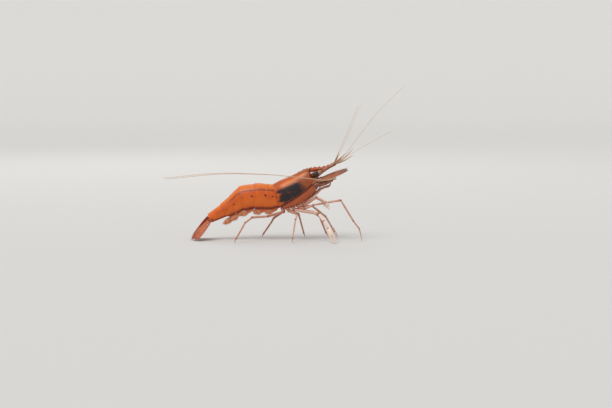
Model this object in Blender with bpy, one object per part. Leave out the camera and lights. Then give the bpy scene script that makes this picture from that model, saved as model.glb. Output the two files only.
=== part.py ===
"""A freshwater prawn at life size, in shell, standing on its legs and tail with its head held up.

Lengths are in millimetres and become metres as each mesh is made. +X is forward, +Y is the animal's left
and +Z is up. The floor is z = 0. Until the last step x is measured from the neck joint, where the carapace
meets the abdomen, and y from the midline. The last step moves the model over its own origin.
"""

import math

import bmesh
import bpy
from mathutils import Vector

MM = 0.001
GAP = 0.2  # left between neighbouring pieces
THINNEST = 0.26  # radius of the thinnest solids

# The head end is tilted up about the neck joint. Head points are (forward, side, up) along its own axis.
HEAD_PITCH = math.radians(27)
NECK_HEIGHT = 12.3

# Carapace from its rear edge to the orbit: (forward, up) on the back, (forward, up) on the lower edge, half width
CARAPACE = [
    ((1.3, 3.60), (-0.3, -3.55), 2.75),
    ((3.1, 3.66), (1.6, -4.15), 3.20),
    ((5.4, 3.47), (3.9, -4.55), 3.35),
    ((7.8, 3.36), (6.2, -4.72), 3.25),
    ((9.6, 3.32), (8.4, -4.30), 2.90),
    ((11.0, 3.25), (10.2, -3.70), 2.50),
    ((11.9, 2.95), (11.5, -3.10), 2.10),
]
CARAPACE_RINGS = 14
CARAPACE_BELLY = 0.93  # share of the depth at which the underside closes
THORAX_WIDTHS = [0.85, 0.95, 0.95, 0.80, 0.50, 0.40]  # half widths of the underside, neck to mouth
THORAX_DEPTH = 1.05  # its lower face, as a share of the carapace's depth

# Rostrum, the toothed blade over the eyes: (forward, up) head points along its top and back along its keel
ROSTRUM_TOP = [(7.8, 3.22), (10.6, 3.18), (13.2, 2.60), (16.0, 1.50), (18.7, 1.15)]
ROSTRUM_KEEL = [(18.4, 1.00), (16.4, 0.75), (14.0, 1.20), (12.2, 1.75), (11.0, 2.00)]
ROSTRUM_ROOT = [(9.4, 1.90), (8.2, 2.60)]
ROSTRUM_THICKNESS = 0.5
TEETH_ABOVE, TEETH_BELOW = 9, 3
TOOTH_HEIGHT = 0.36

# Abdomen: (x, z) of the back and of the side plates' lower edge at its seven joints, neck to tail
BACK_LINE = [(-0.75, 15.85), (-2.3, 15.85), (-5.7, 15.97), (-10.3, 15.1), (-12.85, 12.8), (-15.4, 10.5), (-19.4, 7.3)]
PLATE_EDGE = [(1.0, 9.4), (-1.2, 9.3), (-5.2, 9.4), (-8.9, 8.95), (-11.2, 8.0), (-13.6, 7.0), (-18.6, 5.1)]
ABDOMEN_WIDTHS = [2.50, 2.80, 2.90, 2.70, 2.35, 1.95, 1.25]  # half widths
PLATE_LOBES = [0.15, 0.35, 0.35, 0.35, 0.30, 0.05]  # how far the side plates hang below the edge line
PLEONITE_RINGS = 6
PLATE_STEP = 0.15  # each ring of the shell starts this much inside the one before it
ABDOMEN_BELLY = 0.84

# Tail fan: a blade's points are (along, side, up) from the end of the abdomen
FAN_ROOT = (-19.0, 6.1)
FAN_PITCH = math.radians(49.3)  # below the horizontal, pointing back
TELSON = [(0.15, 0, 0.52), (2.0, 0, 0.62), (4.2, 0, 0.60), (6.3, 0, 0.55)]
TELSON_SIZES = [(0.85, 0.38), (0.85, 0.38), (0.66, 0.30), (0.34, 0.26)]  # half width, half thickness
INNER_BLADE = [(0.38, 0.80, -0.20), (2.2, 1.25, -0.12), (4.4, 1.60, -0.15), (6.3, 1.85, -0.22), (7.45, 1.95, -0.28)]
INNER_SIZES = [(0.34, 0.30), (0.78, 0.27), (0.98, 0.26), (0.86, 0.26), (0.34, 0.26)]
OUTER_BLADE = [(0.35, 1.35, -0.78), (2.2, 2.20, -0.90), (4.3, 2.95, -1.05), (5.9, 3.45, -1.15), (6.75, 3.70, -1.20)]
OUTER_SIZES = [(0.36, 0.32), (0.92, 0.27), (1.16, 0.26), (1.04, 0.26), (0.50, 0.26)]
OUTER_TILT = math.radians(16)  # the outer blades' outer edges hang down

# Eyes, as head points for the left side
EYE_CENTRE = (13.1, 2.2, 0.7)
EYE_RADIUS = 0.8
STALK_ROOT = (12.1, 0.6, 1.1)
STALK_RADII = (0.45, 0.60)

# Feelers and mouthparts, as head points for the left side
ANTENNULE_BASE = [(12.05, 0.80, -0.35), (13.6, 0.85, 0.20), (16.2, 0.85, 0.72), (19.1, 0.90, 0.84)]
ANTENNULE_RADII = [0.50, 0.50, 0.45, 0.42]
ANTENNA_BASE = [(12.1, 2.10, -2.10), (14.0, 2.10, -2.60), (16.3, 2.20, -2.75)]
ANTENNA_RADII = [0.62, 0.58, 0.48]
SCALE_LENGTH, SCALE_OUTER_EDGE = 8.7, 3.25
SCALE_ROOT = (12.9, -1.30)  # forward, up
SCALE_DROP = 0.95
SCALE_HALF_WIDTHS = [0.55, 1.00, 1.24, 1.28, 1.14, 0.80, 0.30]
MAXILLIPED = [(7.6, 1.10, -4.95), (10.0, 1.20, -4.50), (12.7, 1.30, -3.80), (14.9, 1.25, -4.05), (15.7, 1.15, -3.45)]
MAXILLIPED_RADII = [0.40, 0.38, 0.36, 0.30, THINNEST]

# The long whips of the antennae bend out and back from their bases, then lie along the body at its right.
# The left whip is the same, lower by WHIP_DROP.
WHIP_BEND = [(16.75, 2.25, -2.80), (17.6, 3.6, -2.9), (17.0, 5.0, -2.5), (14.5, 6.0, -1.6)]
WHIP_ROUTE = [(9.4, -6.8, 18.0), (4.0, -7.2, 18.6), (-3.4, -7.0, 19.2), (-16.5, -6.0, 19.4), (-31.6, -5.0, 18.0)]
WHIP_DROP = 1.0
WHIP_RINGS = 30

# The antennules' whips fan out forward and up from the ends of their bases: (x, y, z) of points on each,
# after its root, which is an (out, up) offset on the base's end
ANTENNULE_WHIPS = {
    "outer_right": ((0.30, 0.24), [(19.4, -1.8, 24.4), (21.7, -2.5, 27.3), (28.8, -4.0, 36.6), (36.2, -5.5, 44.0)]),
    "short_right": ((0.26, -0.34), [(19.3, -2.5, 23.4), (21.7, -3.4, 25.9)]),
    "inner_right": ((-0.34, 0.10), [(18.2, -0.9, 26.0), (19.9, -1.2, 29.9), (23.1, -2.2, 38.0)]),
    "outer_left": ((0.30, 0.24), [(19.6, 1.9, 23.3), (21.9, 2.6, 24.7), (28.2, 4.5, 28.2), (33.1, 6.0, 30.7)]),
    "short_left": ((0.26, -0.34), [(19.4, 2.7, 22.4), (21.9, 3.7, 23.7)]),
    "inner_left": ((-0.34, 0.10), [(18.5, 1.1, 25.4), (20.6, 1.8, 29.9), (24.2, 3.4, 38.6)]),
}

# Legs: the root as (forward, up) on the head axis, then (x, y, z) of the joints after the coxa, to the tip
LEG_SIDE = 1.55  # roots, from the midline
LEGS = {
    "leg_1_right": ((6.0, -4.92), [(11.6, -4.6, 12.6), (14.2, -6.0, 11.3), (14.8, -6.1, 10.3), (15.1, -6.1, 9.2)]),
    "leg_1_left": ((6.0, -4.92), [(11.3, 3.4, 11.8), (13.5, 3.0, 10.7), (14.1, 2.8, 9.9), (14.5, 2.6, 9.0)]),
    "leg_2_right": ((4.5, -4.85), [(8.1, -3.2, 9.2), (10.6, -3.7, 10.3), (18.3, -5.4, 11.8), (21.9, -5.6, 5.9), (23.5, -5.4, 3.8), (24.4, -5.0, 0)]),
    "leg_2_left": ((4.5, -4.85), [(10.3, 4.5, 9.3), (14.2, 6.3, 6.1), (15.9, 6.5, 3.2), (17.7, 6.2, 0)]),
    "leg_3_right": ((3.0, -4.68), [(12.1, -6.8, 8.1), (13.4, -7.9, 6.2), (16.3, -9.5, 1.1), (16.8, -9.9, 0)]),
    "leg_3_left": ((3.0, -4.68), [(10.7, 5.4, 7.4), (12.5, 6.4, 6.0), (14.4, 7.5, 1.2), (14.9, 7.8, 0)]),
    "leg_4_right": ((1.5, -4.38), [(6.1, -6.0, 7.9), (5.6, -6.7, 6.5), (4.8, -7.6, 1.3), (4.6, -8.0, 0)]),
    "leg_4_left": ((1.5, -4.38), [(6.4, 5.5, 6.9), (6.8, 6.3, 5.4), (7.9, 7.3, 1.2), (8.1, 7.6, 0)]),
    "leg_5_right": ((0.1, -3.95), [(-2.3, -4.0, 7.1), (-6.6, -6.2, 7.0), (-8.5, -7.0, 5.6), (-11.0, -8.0, 1.2), (-11.5, -8.3, 0)]),
    "leg_5_left": ((0.1, -3.95), [(-0.8, 5.2, 5.7), (-1.5, 5.9, 4.4), (-3.8, 7.1, 1.0), (-4.2, 7.4, 0)]),
}
COXA_LENGTH = 0.75
COXA_RADIUS = 0.46
LIMB_RADII = [0.42, 0.38, 0.33, 0.29, THINNEST]  # at the joints after the coxa; a spare one thins out evenly
CLAW_RADIUS = 0.36  # at the wrist of the first two pairs

# Swimmerets: how far below the belly, and how far back, the points of each lie
PLEOPOD = [(0.2, 0.0), (1.0, 0.1), (2.0, 0.9), (2.75, 2.0), (3.0, 2.9)]
PLEOPOD_SIZES = [(0.34, 0.30), (0.50, 0.30), (0.95, 0.27), (0.92, 0.26), (0.40, 0.26)]
PLEOPOD_WIDTHS = [1.0, 1.0, 1.0, 0.80, 0.75]  # of each pair, as a share of the sizes above
PLEOPOD_SIDE = 0.98
PLEOPOD_TURN = math.radians(55)  # the leaves' outer edges face forward

Y, Z = Vector((0, 1, 0)), Vector((0, 0, 1))
SIDES = {"left": 1, "right": -1}


# ---------------------------------------------------------------- curves and places

def through(values, t):
    """The smooth curve through a list of numbers, tuples or vectors, at t counted in list steps."""
    last = len(values) - 1
    i = min(max(int(t), 0), last - 1)
    f = t - i

    def at(k):
        if k < 0:
            return at(0) * 2 - at(1)
        if k > last:
            return at(last) * 2 - at(last - 1)
        return Vector(values[k]) if isinstance(values[k], (tuple, Vector)) else Vector((values[k], 0))

    a, b, c, d = at(i - 1), at(i), at(i + 1), at(i + 2)
    point = 0.5 * (2 * b + (c - a) * f + (2 * a - 5 * b + 4 * c - d) * f**2 + (3 * b - a - 3 * c + d) * f**3)
    return point if isinstance(values[0], (tuple, Vector)) else point.x


def smooth_route(points, count):
    """Count + 1 places along the smooth curve through the given points."""
    return [through(points, (len(points) - 1) * k / count) for k in range(count + 1)]


def head(forward, side, up):
    """A head point in the model's axes."""
    c, s = math.cos(HEAD_PITCH), math.sin(HEAD_PITCH)
    return Vector((forward * c - up * s, side, NECK_HEIGHT + forward * s + up * c))


def head_route(points, side):
    return [head(f, side * y, u) for f, y, u in points]


def fan(along, side, up):
    """A tail fan point in the model's axes."""
    c, s = math.cos(FAN_PITCH), math.sin(FAN_PITCH)
    return Vector((FAN_ROOT[0] - along * c - up * s, side, FAN_ROOT[1] - along * s + up * c))


# ---------------------------------------------------------------- meshes

def make_material(name, colour, roughness=0.3, metallic=0.0):
    material = bpy.data.materials.new(name)
    material.use_nodes = True
    shader = material.node_tree.nodes["Principled BSDF"]
    shader.inputs["Base Color"].default_value = (*colour, 1)
    shader.inputs["Roughness"].default_value = roughness
    shader.inputs["Metallic"].default_value = metallic
    material.diffuse_color = (*colour, 1)
    return material


def add_object(name, mesh, colour):
    mesh.materials.append(make_material(name, colour))
    mesh.shade_smooth()
    mesh.set_sharp_from_angle(angle=math.radians(45))
    obj = bpy.data.objects.new(name, mesh)
    bpy.context.scene.collection.objects.link(obj)
    return obj


def loft(name, rings, colour):
    """A closed skin over rings of equally many points."""
    n = len(rings[0])
    points = [p * MM for ring in rings for p in ring]
    faces = [tuple(range(n)), tuple(range(len(points) - 1, len(points) - 1 - n, -1))]
    for r in range(len(rings) - 1):
        for k in range(n):
            a, b = r * n + k, r * n + (k + 1) % n
            faces.append((a, a + n, b + n, b))
    mesh = bpy.data.meshes.new(name)
    mesh.from_pydata(points, [], faces)
    work = bmesh.new()
    work.from_mesh(mesh)
    bmesh.ops.recalc_face_normals(work, faces=work.faces)
    work.to_mesh(mesh)
    work.free()
    return add_object(name, mesh, colour)


def sweep(name, path, sizes, colour, across=Y, sides=6, foot=False):
    """A tube along a path. Each size is a radius, or a half width along across and a half thickness.
    With foot, the last ring is a flat on the floor. No ring reaches below the floor."""
    rings, wide = [], Vector(across)
    for i, centre in enumerate(path):
        along = (path[min(i + 1, len(path) - 1)] - path[max(i - 1, 0)]).normalized()
        wide = (wide - along * wide.dot(along)).normalized()
        thick = along.cross(wide)
        a, b = sizes[i] if isinstance(sizes[i], (tuple, Vector)) else (sizes[i], sizes[i])
        angles = [2 * math.pi * (k + 0.5) / sides for k in range(sides)]
        ring = [centre + wide * (a * math.cos(t)) + thick * (b * math.sin(t)) for t in angles]
        if foot and i == len(path) - 1:
            ring = [Vector((p.x, p.y, 0)) for p in ring]
        rings.append([Vector((p.x, p.y, max(p.z, 0))) for p in ring])
    return loft(name, rings, colour)


# ---------------------------------------------------------------- carapace and thorax

def section(back, edge, half_width, roof, tuck, belly):
    """A closed ring across the body: a round roof down to the share roof of the depth, flanks that draw in
    by the share tuck at the lower edge, and an underside that closes at the share belly."""
    left = [(roof * (1 - math.cos(a)), math.sin(a)) for a in (math.radians(18 * k) for k in range(6))]
    left += [(roof + (1 - roof) * q, 1 - tuck * q * q) for q in (0.35, 0.7, 1.0)]
    left += [(belly + 0.02, 0.68 * (1 - tuck)), (belly, 0)]
    whole = left + [(depth, -side) for depth, side in reversed(left[1:-1])]
    return [back.lerp(edge, depth) + Y * (side * half_width) for depth, side in whole]


def carapace_lines(t):
    """Back and lower edge of the carapace in the model's axes, at t steps of its table."""
    back, edge = through([c[0] for c in CARAPACE], t), through([c[1] for c in CARAPACE], t)
    return head(back.x, 0, back.y), head(edge.x, 0, edge.y)


def make_carapace(colour):
    rings = []
    for k in range(CARAPACE_RINGS):
        t = (len(CARAPACE) - 1) * k / (CARAPACE_RINGS - 1)
        half_width = through([c[2] for c in CARAPACE], t)
        rings.append(section(*carapace_lines(t), half_width, 0.56, 0.38, CARAPACE_BELLY))
    carapace = loft("carapace", rings, colour)

    blade = make_rostrum(colour)
    blade.hide_render = True
    blade.display_type = "WIRE"
    join = carapace.modifiers.new("rostrum", "BOOLEAN")
    join.operation = "UNION"
    join.object = blade


def toothed(points, teeth, height):
    """The curve through (forward, up) points with teeth standing on it, leaning forward."""
    line = smooth_route(points, teeth * 2)
    return [p + Vector((0.12, height)) if k % 2 else p for k, p in enumerate(line)]


def make_rostrum(colour):
    above = toothed(ROSTRUM_TOP, TEETH_ABOVE, TOOTH_HEIGHT)
    below = toothed(ROSTRUM_KEEL, TEETH_BELOW, -0.8 * TOOTH_HEIGHT)
    outline = above + below + [Vector(p) for p in ROSTRUM_ROOT]
    half = ROSTRUM_THICKNESS / 2
    return loft("rostrum", [[head(p.x, side, p.y) for p in outline] for side in (-half, half)], colour)


def make_thorax(colour):
    """The underside between the carapace's lower edges, from the last legs to the mouth."""
    rings = []
    last = len(THORAX_WIDTHS) - 1
    for k in range(2 * last):
        t = 0.15 + (last - 0.15) * k / (2 * last - 1)
        back, edge = carapace_lines(t)
        half_width = through(THORAX_WIDTHS, t)
        top = CARAPACE_BELLY + GAP / (back - edge).length
        low = THORAX_DEPTH
        corners = [(top, 0.7), (top + 0.03, 1.0), (low - 0.04, 1.0), (low, 0.6)]
        corners += [(depth, -side) for depth, side in reversed(corners)]
        rings.append([back.lerp(edge, depth) + Y * (side * half_width) for depth, side in corners])
    loft("thorax_underside", rings, colour)


# ---------------------------------------------------------------- abdomen, swimmerets and tail fan

def abdomen_lines(s):
    """Back and lower plate edge in the model's axes, s joints behind the neck."""
    back, edge = through(BACK_LINE, s), through(PLATE_EDGE, s)
    return Vector((back.x, 0, back.y)), Vector((edge.x, 0, edge.y))


def make_pleonite(number, colour):
    """One ring of the abdomen with its side plates, number 0 at the neck."""
    rings = []
    cut = GAP / 2 / (abdomen_lines(number + 1)[0] - abdomen_lines(number)[0]).length
    for k in range(PLEONITE_RINGS):
        f = cut + (1 - 2 * cut) * k / (PLEONITE_RINGS - 1)
        back, edge = abdomen_lines(number + f)
        down = (edge - back).normalized()
        inset = PLATE_STEP * (1 - f) ** 2
        lobe = PLATE_LOBES[number] * math.sin(math.pi * f)
        half_width = through(ABDOMEN_WIDTHS, number + f) - inset
        tuck = 0.22 if number < 5 else 0.30
        rings.append(section(back + down * inset, edge + down * lobe, half_width, 0.5, tuck, ABDOMEN_BELLY))
    loft(f"pleonite_{number + 1}", rings, colour)


def make_pleopod(number, side, colour):
    """One swimmeret, folded back under the plates of ring number."""
    back, edge = abdomen_lines(number + 0.5)
    down = (edge - back).normalized()
    behind = (abdomen_lines(number + 1)[1] - abdomen_lines(number)[1]).normalized()
    belly = back.lerp(edge + down * PLATE_LOBES[number], ABDOMEN_BELLY + 0.02)
    root = belly + Y * (SIDES[side] * PLEOPOD_SIDE)
    path = [root + down * below + behind * aft for below, aft in PLEOPOD]
    across = Y * (SIDES[side] * math.cos(PLEOPOD_TURN)) - behind * math.sin(PLEOPOD_TURN)
    sizes = [(wide * PLEOPOD_WIDTHS[number], thick) for wide, thick in PLEOPOD_SIZES]
    sweep(f"pleopod_{number + 1}_{side}", path, sizes, colour, across=across)


def make_blade(name, points, sizes, colour, side=1, tilt=0.0):
    """A flat blade of the tail fan."""
    count = 8
    path = [fan(p.x, side * p.y, p.z) for p in smooth_route(points, count)]
    spread = [tuple(size) for size in smooth_route(sizes, count)]
    low = fan(0, 0, -1) - fan(0, 0, 0)
    across = (Y * side * math.cos(tilt) + low * math.sin(tilt)) * side
    sweep(name, path, spread, colour, across=across, sides=8)


# ---------------------------------------------------------------- limbs, feelers and eyes

def jointed(joints, radii, cut=0.22):
    """A path with each joint bevelled to two rings, and the radii that go with it."""
    path, sizes = [joints[0]], [radii[0]]
    for i in range(1, len(joints) - 1):
        back, ahead = (joints[i - 1] - joints[i]).normalized(), (joints[i + 1] - joints[i]).normalized()
        path += [joints[i] + back * cut, joints[i] + ahead * cut]
        sizes += [radii[i], radii[i]]
    return path + [joints[-1]], sizes + [radii[-1]]


def make_leg(name, colour):
    (forward, up), places = LEGS[name]
    side = SIDES[name.split("_")[-1]]
    root = head(forward, side * LEG_SIDE, up)
    coxa = head(forward, side * (LEG_SIDE + 0.2), up - COXA_LENGTH)
    joints = [root, coxa] + [Vector(p) for p in places]
    count = len(places)
    radii = [COXA_RADIUS, COXA_RADIUS] + [through(LIMB_RADII, 4 * (k + 1) / count) for k in range(count)]
    if name.startswith(("leg_1", "leg_2")):
        radii[-2] = CLAW_RADIUS
    path, sizes = jointed(joints, radii)
    sweep(name, path, sizes, colour, foot=places[-1][2] == 0)


def make_whip(side, colour):
    """The long whip of one antenna."""
    sign = SIDES[side]
    drop = WHIP_DROP if side == "left" else 0
    route = head_route(WHIP_BEND, sign) + [Vector((x, -sign * y, z - drop)) for x, y, z in WHIP_ROUTE]
    path = smooth_route(route, WHIP_RINGS)
    sweep(f"antenna_whip_{side}", path, [THINNEST] * len(path), colour, across=Z)


def make_antennule_whip(kind, colour):
    (out, up), places = ANTENNULE_WHIPS[kind]
    side = SIDES[kind.split("_")[-1]]
    f, y, u = ANTENNULE_BASE[-1]
    root = head(f + GAP, side * (y + out), u + up)
    path = smooth_route([root] + [Vector(p) for p in places], 2 * len(places) + 4)
    sweep(f"antennule_whip_{kind}", path, [THINNEST] * len(path), colour)


def make_scale(side, colour):
    """The flat blade beside an antenna, straight along its outer edge."""
    last = len(SCALE_HALF_WIDTHS) - 1
    path = []
    for k, half_width in enumerate(SCALE_HALF_WIDTHS):
        f = k / last
        path.append(head(SCALE_ROOT[0] + SCALE_LENGTH * f, SIDES[side] * (SCALE_OUTER_EDGE - half_width), SCALE_ROOT[1] - SCALE_DROP * f))
    sweep(f"antenna_scale_{side}", path, [(w, THINNEST) for w in SCALE_HALF_WIDTHS], colour, sides=8)


def make_tube(name, points, radii, side, count, colour, sides=8):
    path = smooth_route(head_route(points, SIDES[side]), count)
    sweep(name, path, smooth_route(radii, count) if isinstance(radii[0], tuple) else
          [through(radii, (len(radii) - 1) * k / count) for k in range(count + 1)], colour, sides=sides)


def make_eye(side, colour):
    mesh = bpy.data.meshes.new(f"eye_{side}")
    work = bmesh.new()
    bmesh.ops.create_uvsphere(work, u_segments=14, v_segments=9, radius=EYE_RADIUS * MM)
    forward, out, up = EYE_CENTRE
    bmesh.ops.translate(work, verts=work.verts, vec=head(forward, SIDES[side] * out, up) * MM)
    work.to_mesh(mesh)
    work.free()
    add_object(f"eye_{side}", mesh, colour)


def make_stalk(side, colour):
    forward, out, up = EYE_CENTRE
    eye = head(forward, SIDES[side] * out, up)
    f, y, u = STALK_ROOT
    root = head(f, SIDES[side] * y, u)
    end = eye + (root - eye).normalized() * (EYE_RADIUS + GAP)
    path = [root, root.lerp(end, 0.5), end]
    sizes = [STALK_RADII[0], (STALK_RADII[0] + STALK_RADII[1]) / 2, STALK_RADII[1]]
    sweep(f"eyestalk_{side}", path, sizes, colour, across=Z, sides=8)


# ---------------------------------------------------------------- the whole animal

def build():
    for obj in list(bpy.data.objects):
        bpy.data.objects.remove(obj, do_unlink=True)

    shell, tail = (0.56, 0.12, 0.02), (0.40, 0.08, 0.02)
    limb, feeler = (0.52, 0.24, 0.15), (0.30, 0.14, 0.07)
    make_carapace(shell)
    make_thorax(shell)
    for number in range(6):
        make_pleonite(number, shell)
    make_blade("telson", TELSON, TELSON_SIZES, tail)
    for side, sign in SIDES.items():
        make_blade(f"uropod_inner_{side}", INNER_BLADE, INNER_SIZES, tail, sign)
        make_blade(f"uropod_outer_{side}", OUTER_BLADE, OUTER_SIZES, tail, sign, OUTER_TILT)
        for number in range(5):
            make_pleopod(number, side, shell)
        make_eye(side, (0.01, 0.005, 0.004))
        make_stalk(side, feeler)
        make_tube(f"antennule_{side}", ANTENNULE_BASE, ANTENNULE_RADII, side, 6, feeler)
        make_tube(f"antenna_base_{side}", ANTENNA_BASE, ANTENNA_RADII, side, 4, feeler)
        make_tube(f"maxilliped_{side}", MAXILLIPED, MAXILLIPED_RADII, side, 9, limb, sides=6)
        make_scale(side, feeler)
        make_whip(side, feeler)
    for kind in ANTENNULE_WHIPS:
        make_antennule_whip(kind, feeler)
    for name in LEGS:
        make_leg(name, limb)

    centre_over_origin()


def centre_over_origin():
    """Moves the model so that the middle of its bounding box's foot is the origin."""
    points = [v.co for obj in bpy.data.objects for v in obj.data.vertices]
    low = Vector(min(p[k] for p in points) for k in range(3))
    high = Vector(max(p[k] for p in points) for k in range(3))
    for obj in bpy.data.objects:
        obj.location = (-(low.x + high.x) / 2, -(low.y + high.y) / 2, -low.z)


build()
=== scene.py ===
"""The looks of a freshwater prawn that stands with its head held up: shell plates, jointed legs, feelers, tail
fan and swimmerets with their hairs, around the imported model. Lengths are in millimetres. The prawn's own axes are
x forward from the neck joint, y to its left and z up from the floor. A place on the head is (forward, left, up)
along the head's pitched axis, and one on the tail fan is (along, left, up) along the fan's.
"""

import math

import bpy
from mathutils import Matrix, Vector


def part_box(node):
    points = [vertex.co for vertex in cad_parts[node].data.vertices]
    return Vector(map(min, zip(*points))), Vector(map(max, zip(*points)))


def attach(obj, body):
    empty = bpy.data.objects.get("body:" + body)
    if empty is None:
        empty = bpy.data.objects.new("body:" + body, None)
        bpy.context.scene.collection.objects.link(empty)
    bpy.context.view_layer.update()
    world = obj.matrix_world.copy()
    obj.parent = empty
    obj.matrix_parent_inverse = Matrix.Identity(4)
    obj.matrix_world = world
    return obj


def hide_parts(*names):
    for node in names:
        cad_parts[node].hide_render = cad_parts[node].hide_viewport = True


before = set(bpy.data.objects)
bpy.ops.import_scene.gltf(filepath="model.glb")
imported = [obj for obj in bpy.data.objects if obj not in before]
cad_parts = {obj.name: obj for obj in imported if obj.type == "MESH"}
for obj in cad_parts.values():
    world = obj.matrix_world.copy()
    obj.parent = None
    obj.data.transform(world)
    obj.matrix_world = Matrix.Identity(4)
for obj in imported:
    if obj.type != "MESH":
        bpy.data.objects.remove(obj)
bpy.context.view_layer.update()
MM = 0.001

# ---------------------------------------------------------------- sizes, as in the solids

HEAD_PITCH = math.radians(27)
NECK_HEIGHT = 12.3
CARAPACE = [  # (forward, up) on the back and at the lower edge, and the half width, from the neck to the face
    ((1.3, 3.60), (-0.3, -3.55), 2.75),
    ((3.1, 3.66), (1.6, -4.15), 3.20),
    ((5.4, 3.47), (3.9, -4.55), 3.35),
    ((7.8, 3.36), (6.2, -4.72), 3.25),
    ((9.6, 3.32), (8.4, -4.30), 2.90),
    ((11.0, 3.25), (10.2, -3.70), 2.50),
    ((11.9, 2.95), (11.5, -3.10), 2.10),
]
CARAPACE_BACK, CARAPACE_EDGE, CARAPACE_WIDTHS = zip(*CARAPACE)
CARAPACE_SHAPE = (0.56, 0.38)  # depth of the roof and tuck of the lower edge, as shares
# Steps along CARAPACE at the front edge, for shares of the flank: the orbit is the bay at 0.34, the antennal spine
# the point at 0.50
FRONT_EDGE = [
    (0.00, 6.60), (0.03, 6.50), (0.07, 6.30), (0.12, 6.05), (0.18, 5.80), (0.26, 5.55), (0.34, 5.40), (0.41, 5.50),
    (0.46, 5.95), (0.50, 6.50), (0.53, 6.08), (0.60, 6.05), (0.72, 6.12), (0.84, 6.05), (0.93, 5.80), (1.00, 5.15),
]
FURROW = [(-0.3, -2.95), (3.1, -2.78), (6.4, -2.48), (8.4, -2.10), (10.0, -1.62), (12.6, -1.00)]
CARAPACE_SPOTS = [(0.15, 12.5, 0.20), (0.5, 11.1, 0.14), (1.6, 12.3, 0.12), (2.4, 11.4, 0.12)]  # x, z, radius
ROSTRUM_TOP = [(7.0, 3.15), (10.6, 3.18), (13.2, 2.60), (16.0, 1.50), (18.7, 1.15)]
ROSTRUM_KEEL = [(7.0, 2.60), (10.6, 2.05), (13.2, 1.45), (16.0, 0.78), (18.7, 1.02)]
TEETH_ABOVE, TEETH_BELOW = 9, 3
TOOTH_HEIGHT = 0.34
TOOTH_CREST, TOOTH_FALL = 0.72, 0.16  # shares of a tooth's length: where it peaks, and its steep front
TOOTH_LEAN = 0.16
FIRST_TOOTH, FIRST_TOOTH_BELOW = 0.06, 0.45  # shares of the rostrum
HAIRS_BY_TOOTH = 4
HEAD_BELLY = 0.90  # share of the carapace's depth
THORAX_WIDTHS = [0.85, 0.95, 0.95, 0.80, 0.50, 0.40]
LEG_PAIRS_BY_STEP = 1.45  # for each step along CARAPACE
JAWS = [  # middle, length, half thickness
    ((9.2, 0.42, -4.15), 0.9, 0.42), ((10.4, 0.45, -3.65), 0.8, 0.36), ((11.3, 0.55, -3.0), 0.6, 0.34),
]
PALPS = [
    [(8.4, 0.75, -4.55), (10.8, 0.80, -4.20), (12.3, 0.62, -3.55), (12.6, 0.35, -3.10)],
    [(8.4, 0.75, -4.55), (10.8, 0.65, -3.95), (12.3, 0.62, -3.25), (12.6, 0.35, -2.80)],
]

BACK_LINE = [(-0.75, 15.85), (-2.3, 15.85), (-5.7, 15.97), (-10.3, 15.1), (-12.85, 12.8), (-15.4, 10.5), (-19.4, 7.3)]
PLATE_EDGE = [(1.0, 9.4), (-1.2, 9.3), (-5.2, 9.4), (-8.9, 8.95), (-11.2, 8.0), (-13.6, 7.0), (-18.6, 5.1)]
ABDOMEN_WIDTHS = [2.50, 2.80, 2.90, 2.70, 2.35, 1.95, 1.25]
ABDOMEN_ROOF, ABDOMEN_TUCK = 0.5, 0.22
# Each plate's start and end in joints along the abdomen, on the back and at its lower edge, how proud it lies, how
# far its lower corners are rounded off, and how far its lobe hangs
PLATES = [
    dict(back=(-0.30, 1.10), edge=(-0.22, 1.02), proud=-0.03, corner=0.22, lobe=0.15),
    dict(back=(0.94, 2.10), edge=(0.72, 2.26), proud=0.09, corner=0.42, lobe=0.45),
    dict(back=(1.94, 3.10), edge=(2.00, 3.14), proud=0.03, corner=0.40, lobe=0.40),
    dict(back=(2.92, 4.12), edge=(2.98, 4.16), proud=0.02, corner=0.42, lobe=0.38),
    dict(back=(3.90, 5.10), edge=(3.96, 5.12), proud=0.00, corner=0.45, lobe=0.32),
    dict(back=(4.90, 6.00), edge=(4.96, 5.98), proud=-0.04, corner=0.10, lobe=0.05),
]
HUMPED_PLATE = 2
# Joints along the abdomen, share of the flank, radius
FLANK_SPOTS = [(0.62, 0.50, 0.17), (1.35, 0.47, 0.20), (2.30, 0.49, 0.23), (2.95, 0.48, 0.13), (3.95, 0.53, 0.20),
               (4.9, 0.56, 0.17), (5.85, 0.72, 0.20)]

FAN_ROOT = (-19.0, 6.1)
FAN_PITCH = math.radians(49.3)
TELSON = [(-0.1, 0, 0.45), (2.0, 0, 0.50), (4.2, 0, 0.46), (6.3, 0, 0.42)]
TELSON_SIZES = [0.90, 0.88, 0.66, 0.30]
TELSON_SPINES = [(0.20, 0.45), (0.09, 0.75)]  # distance from the middle, length
INNER_BLADE = [(0.0, 0.75, -0.05), (2.2, 1.25, 0.05), (4.4, 1.60, 0.06), (6.3, 1.85, 0.03), (7.45, 1.95, -0.02)]
INNER_SIZES = [0.34, 0.82, 1.02, 0.88, 0.20]
OUTER_BLADE = [(0.0, 1.20, -0.55), (2.2, 2.10, -0.66), (4.3, 2.75, -0.74), (5.9, 3.20, -0.78), (6.75, 3.40, -0.80)]
OUTER_SIZES = [0.36, 0.95, 1.20, 1.06, 0.30]
OUTER_TILT, INNER_TILT = math.radians(38), math.radians(32)
UROPOD_STEM = [(-0.55, 0.75, 0.05), (-0.1, 1.0, -0.15), (0.45, 1.15, -0.35)]

EYE_CENTRE = (13.1, 2.2, 0.7)
EYE_RADIUS = 0.8
EYE_START = -0.72  # of the radius, where the cornea leaves the stalk
STALK_ROOT = (11.6, 0.5, 1.1)

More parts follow.
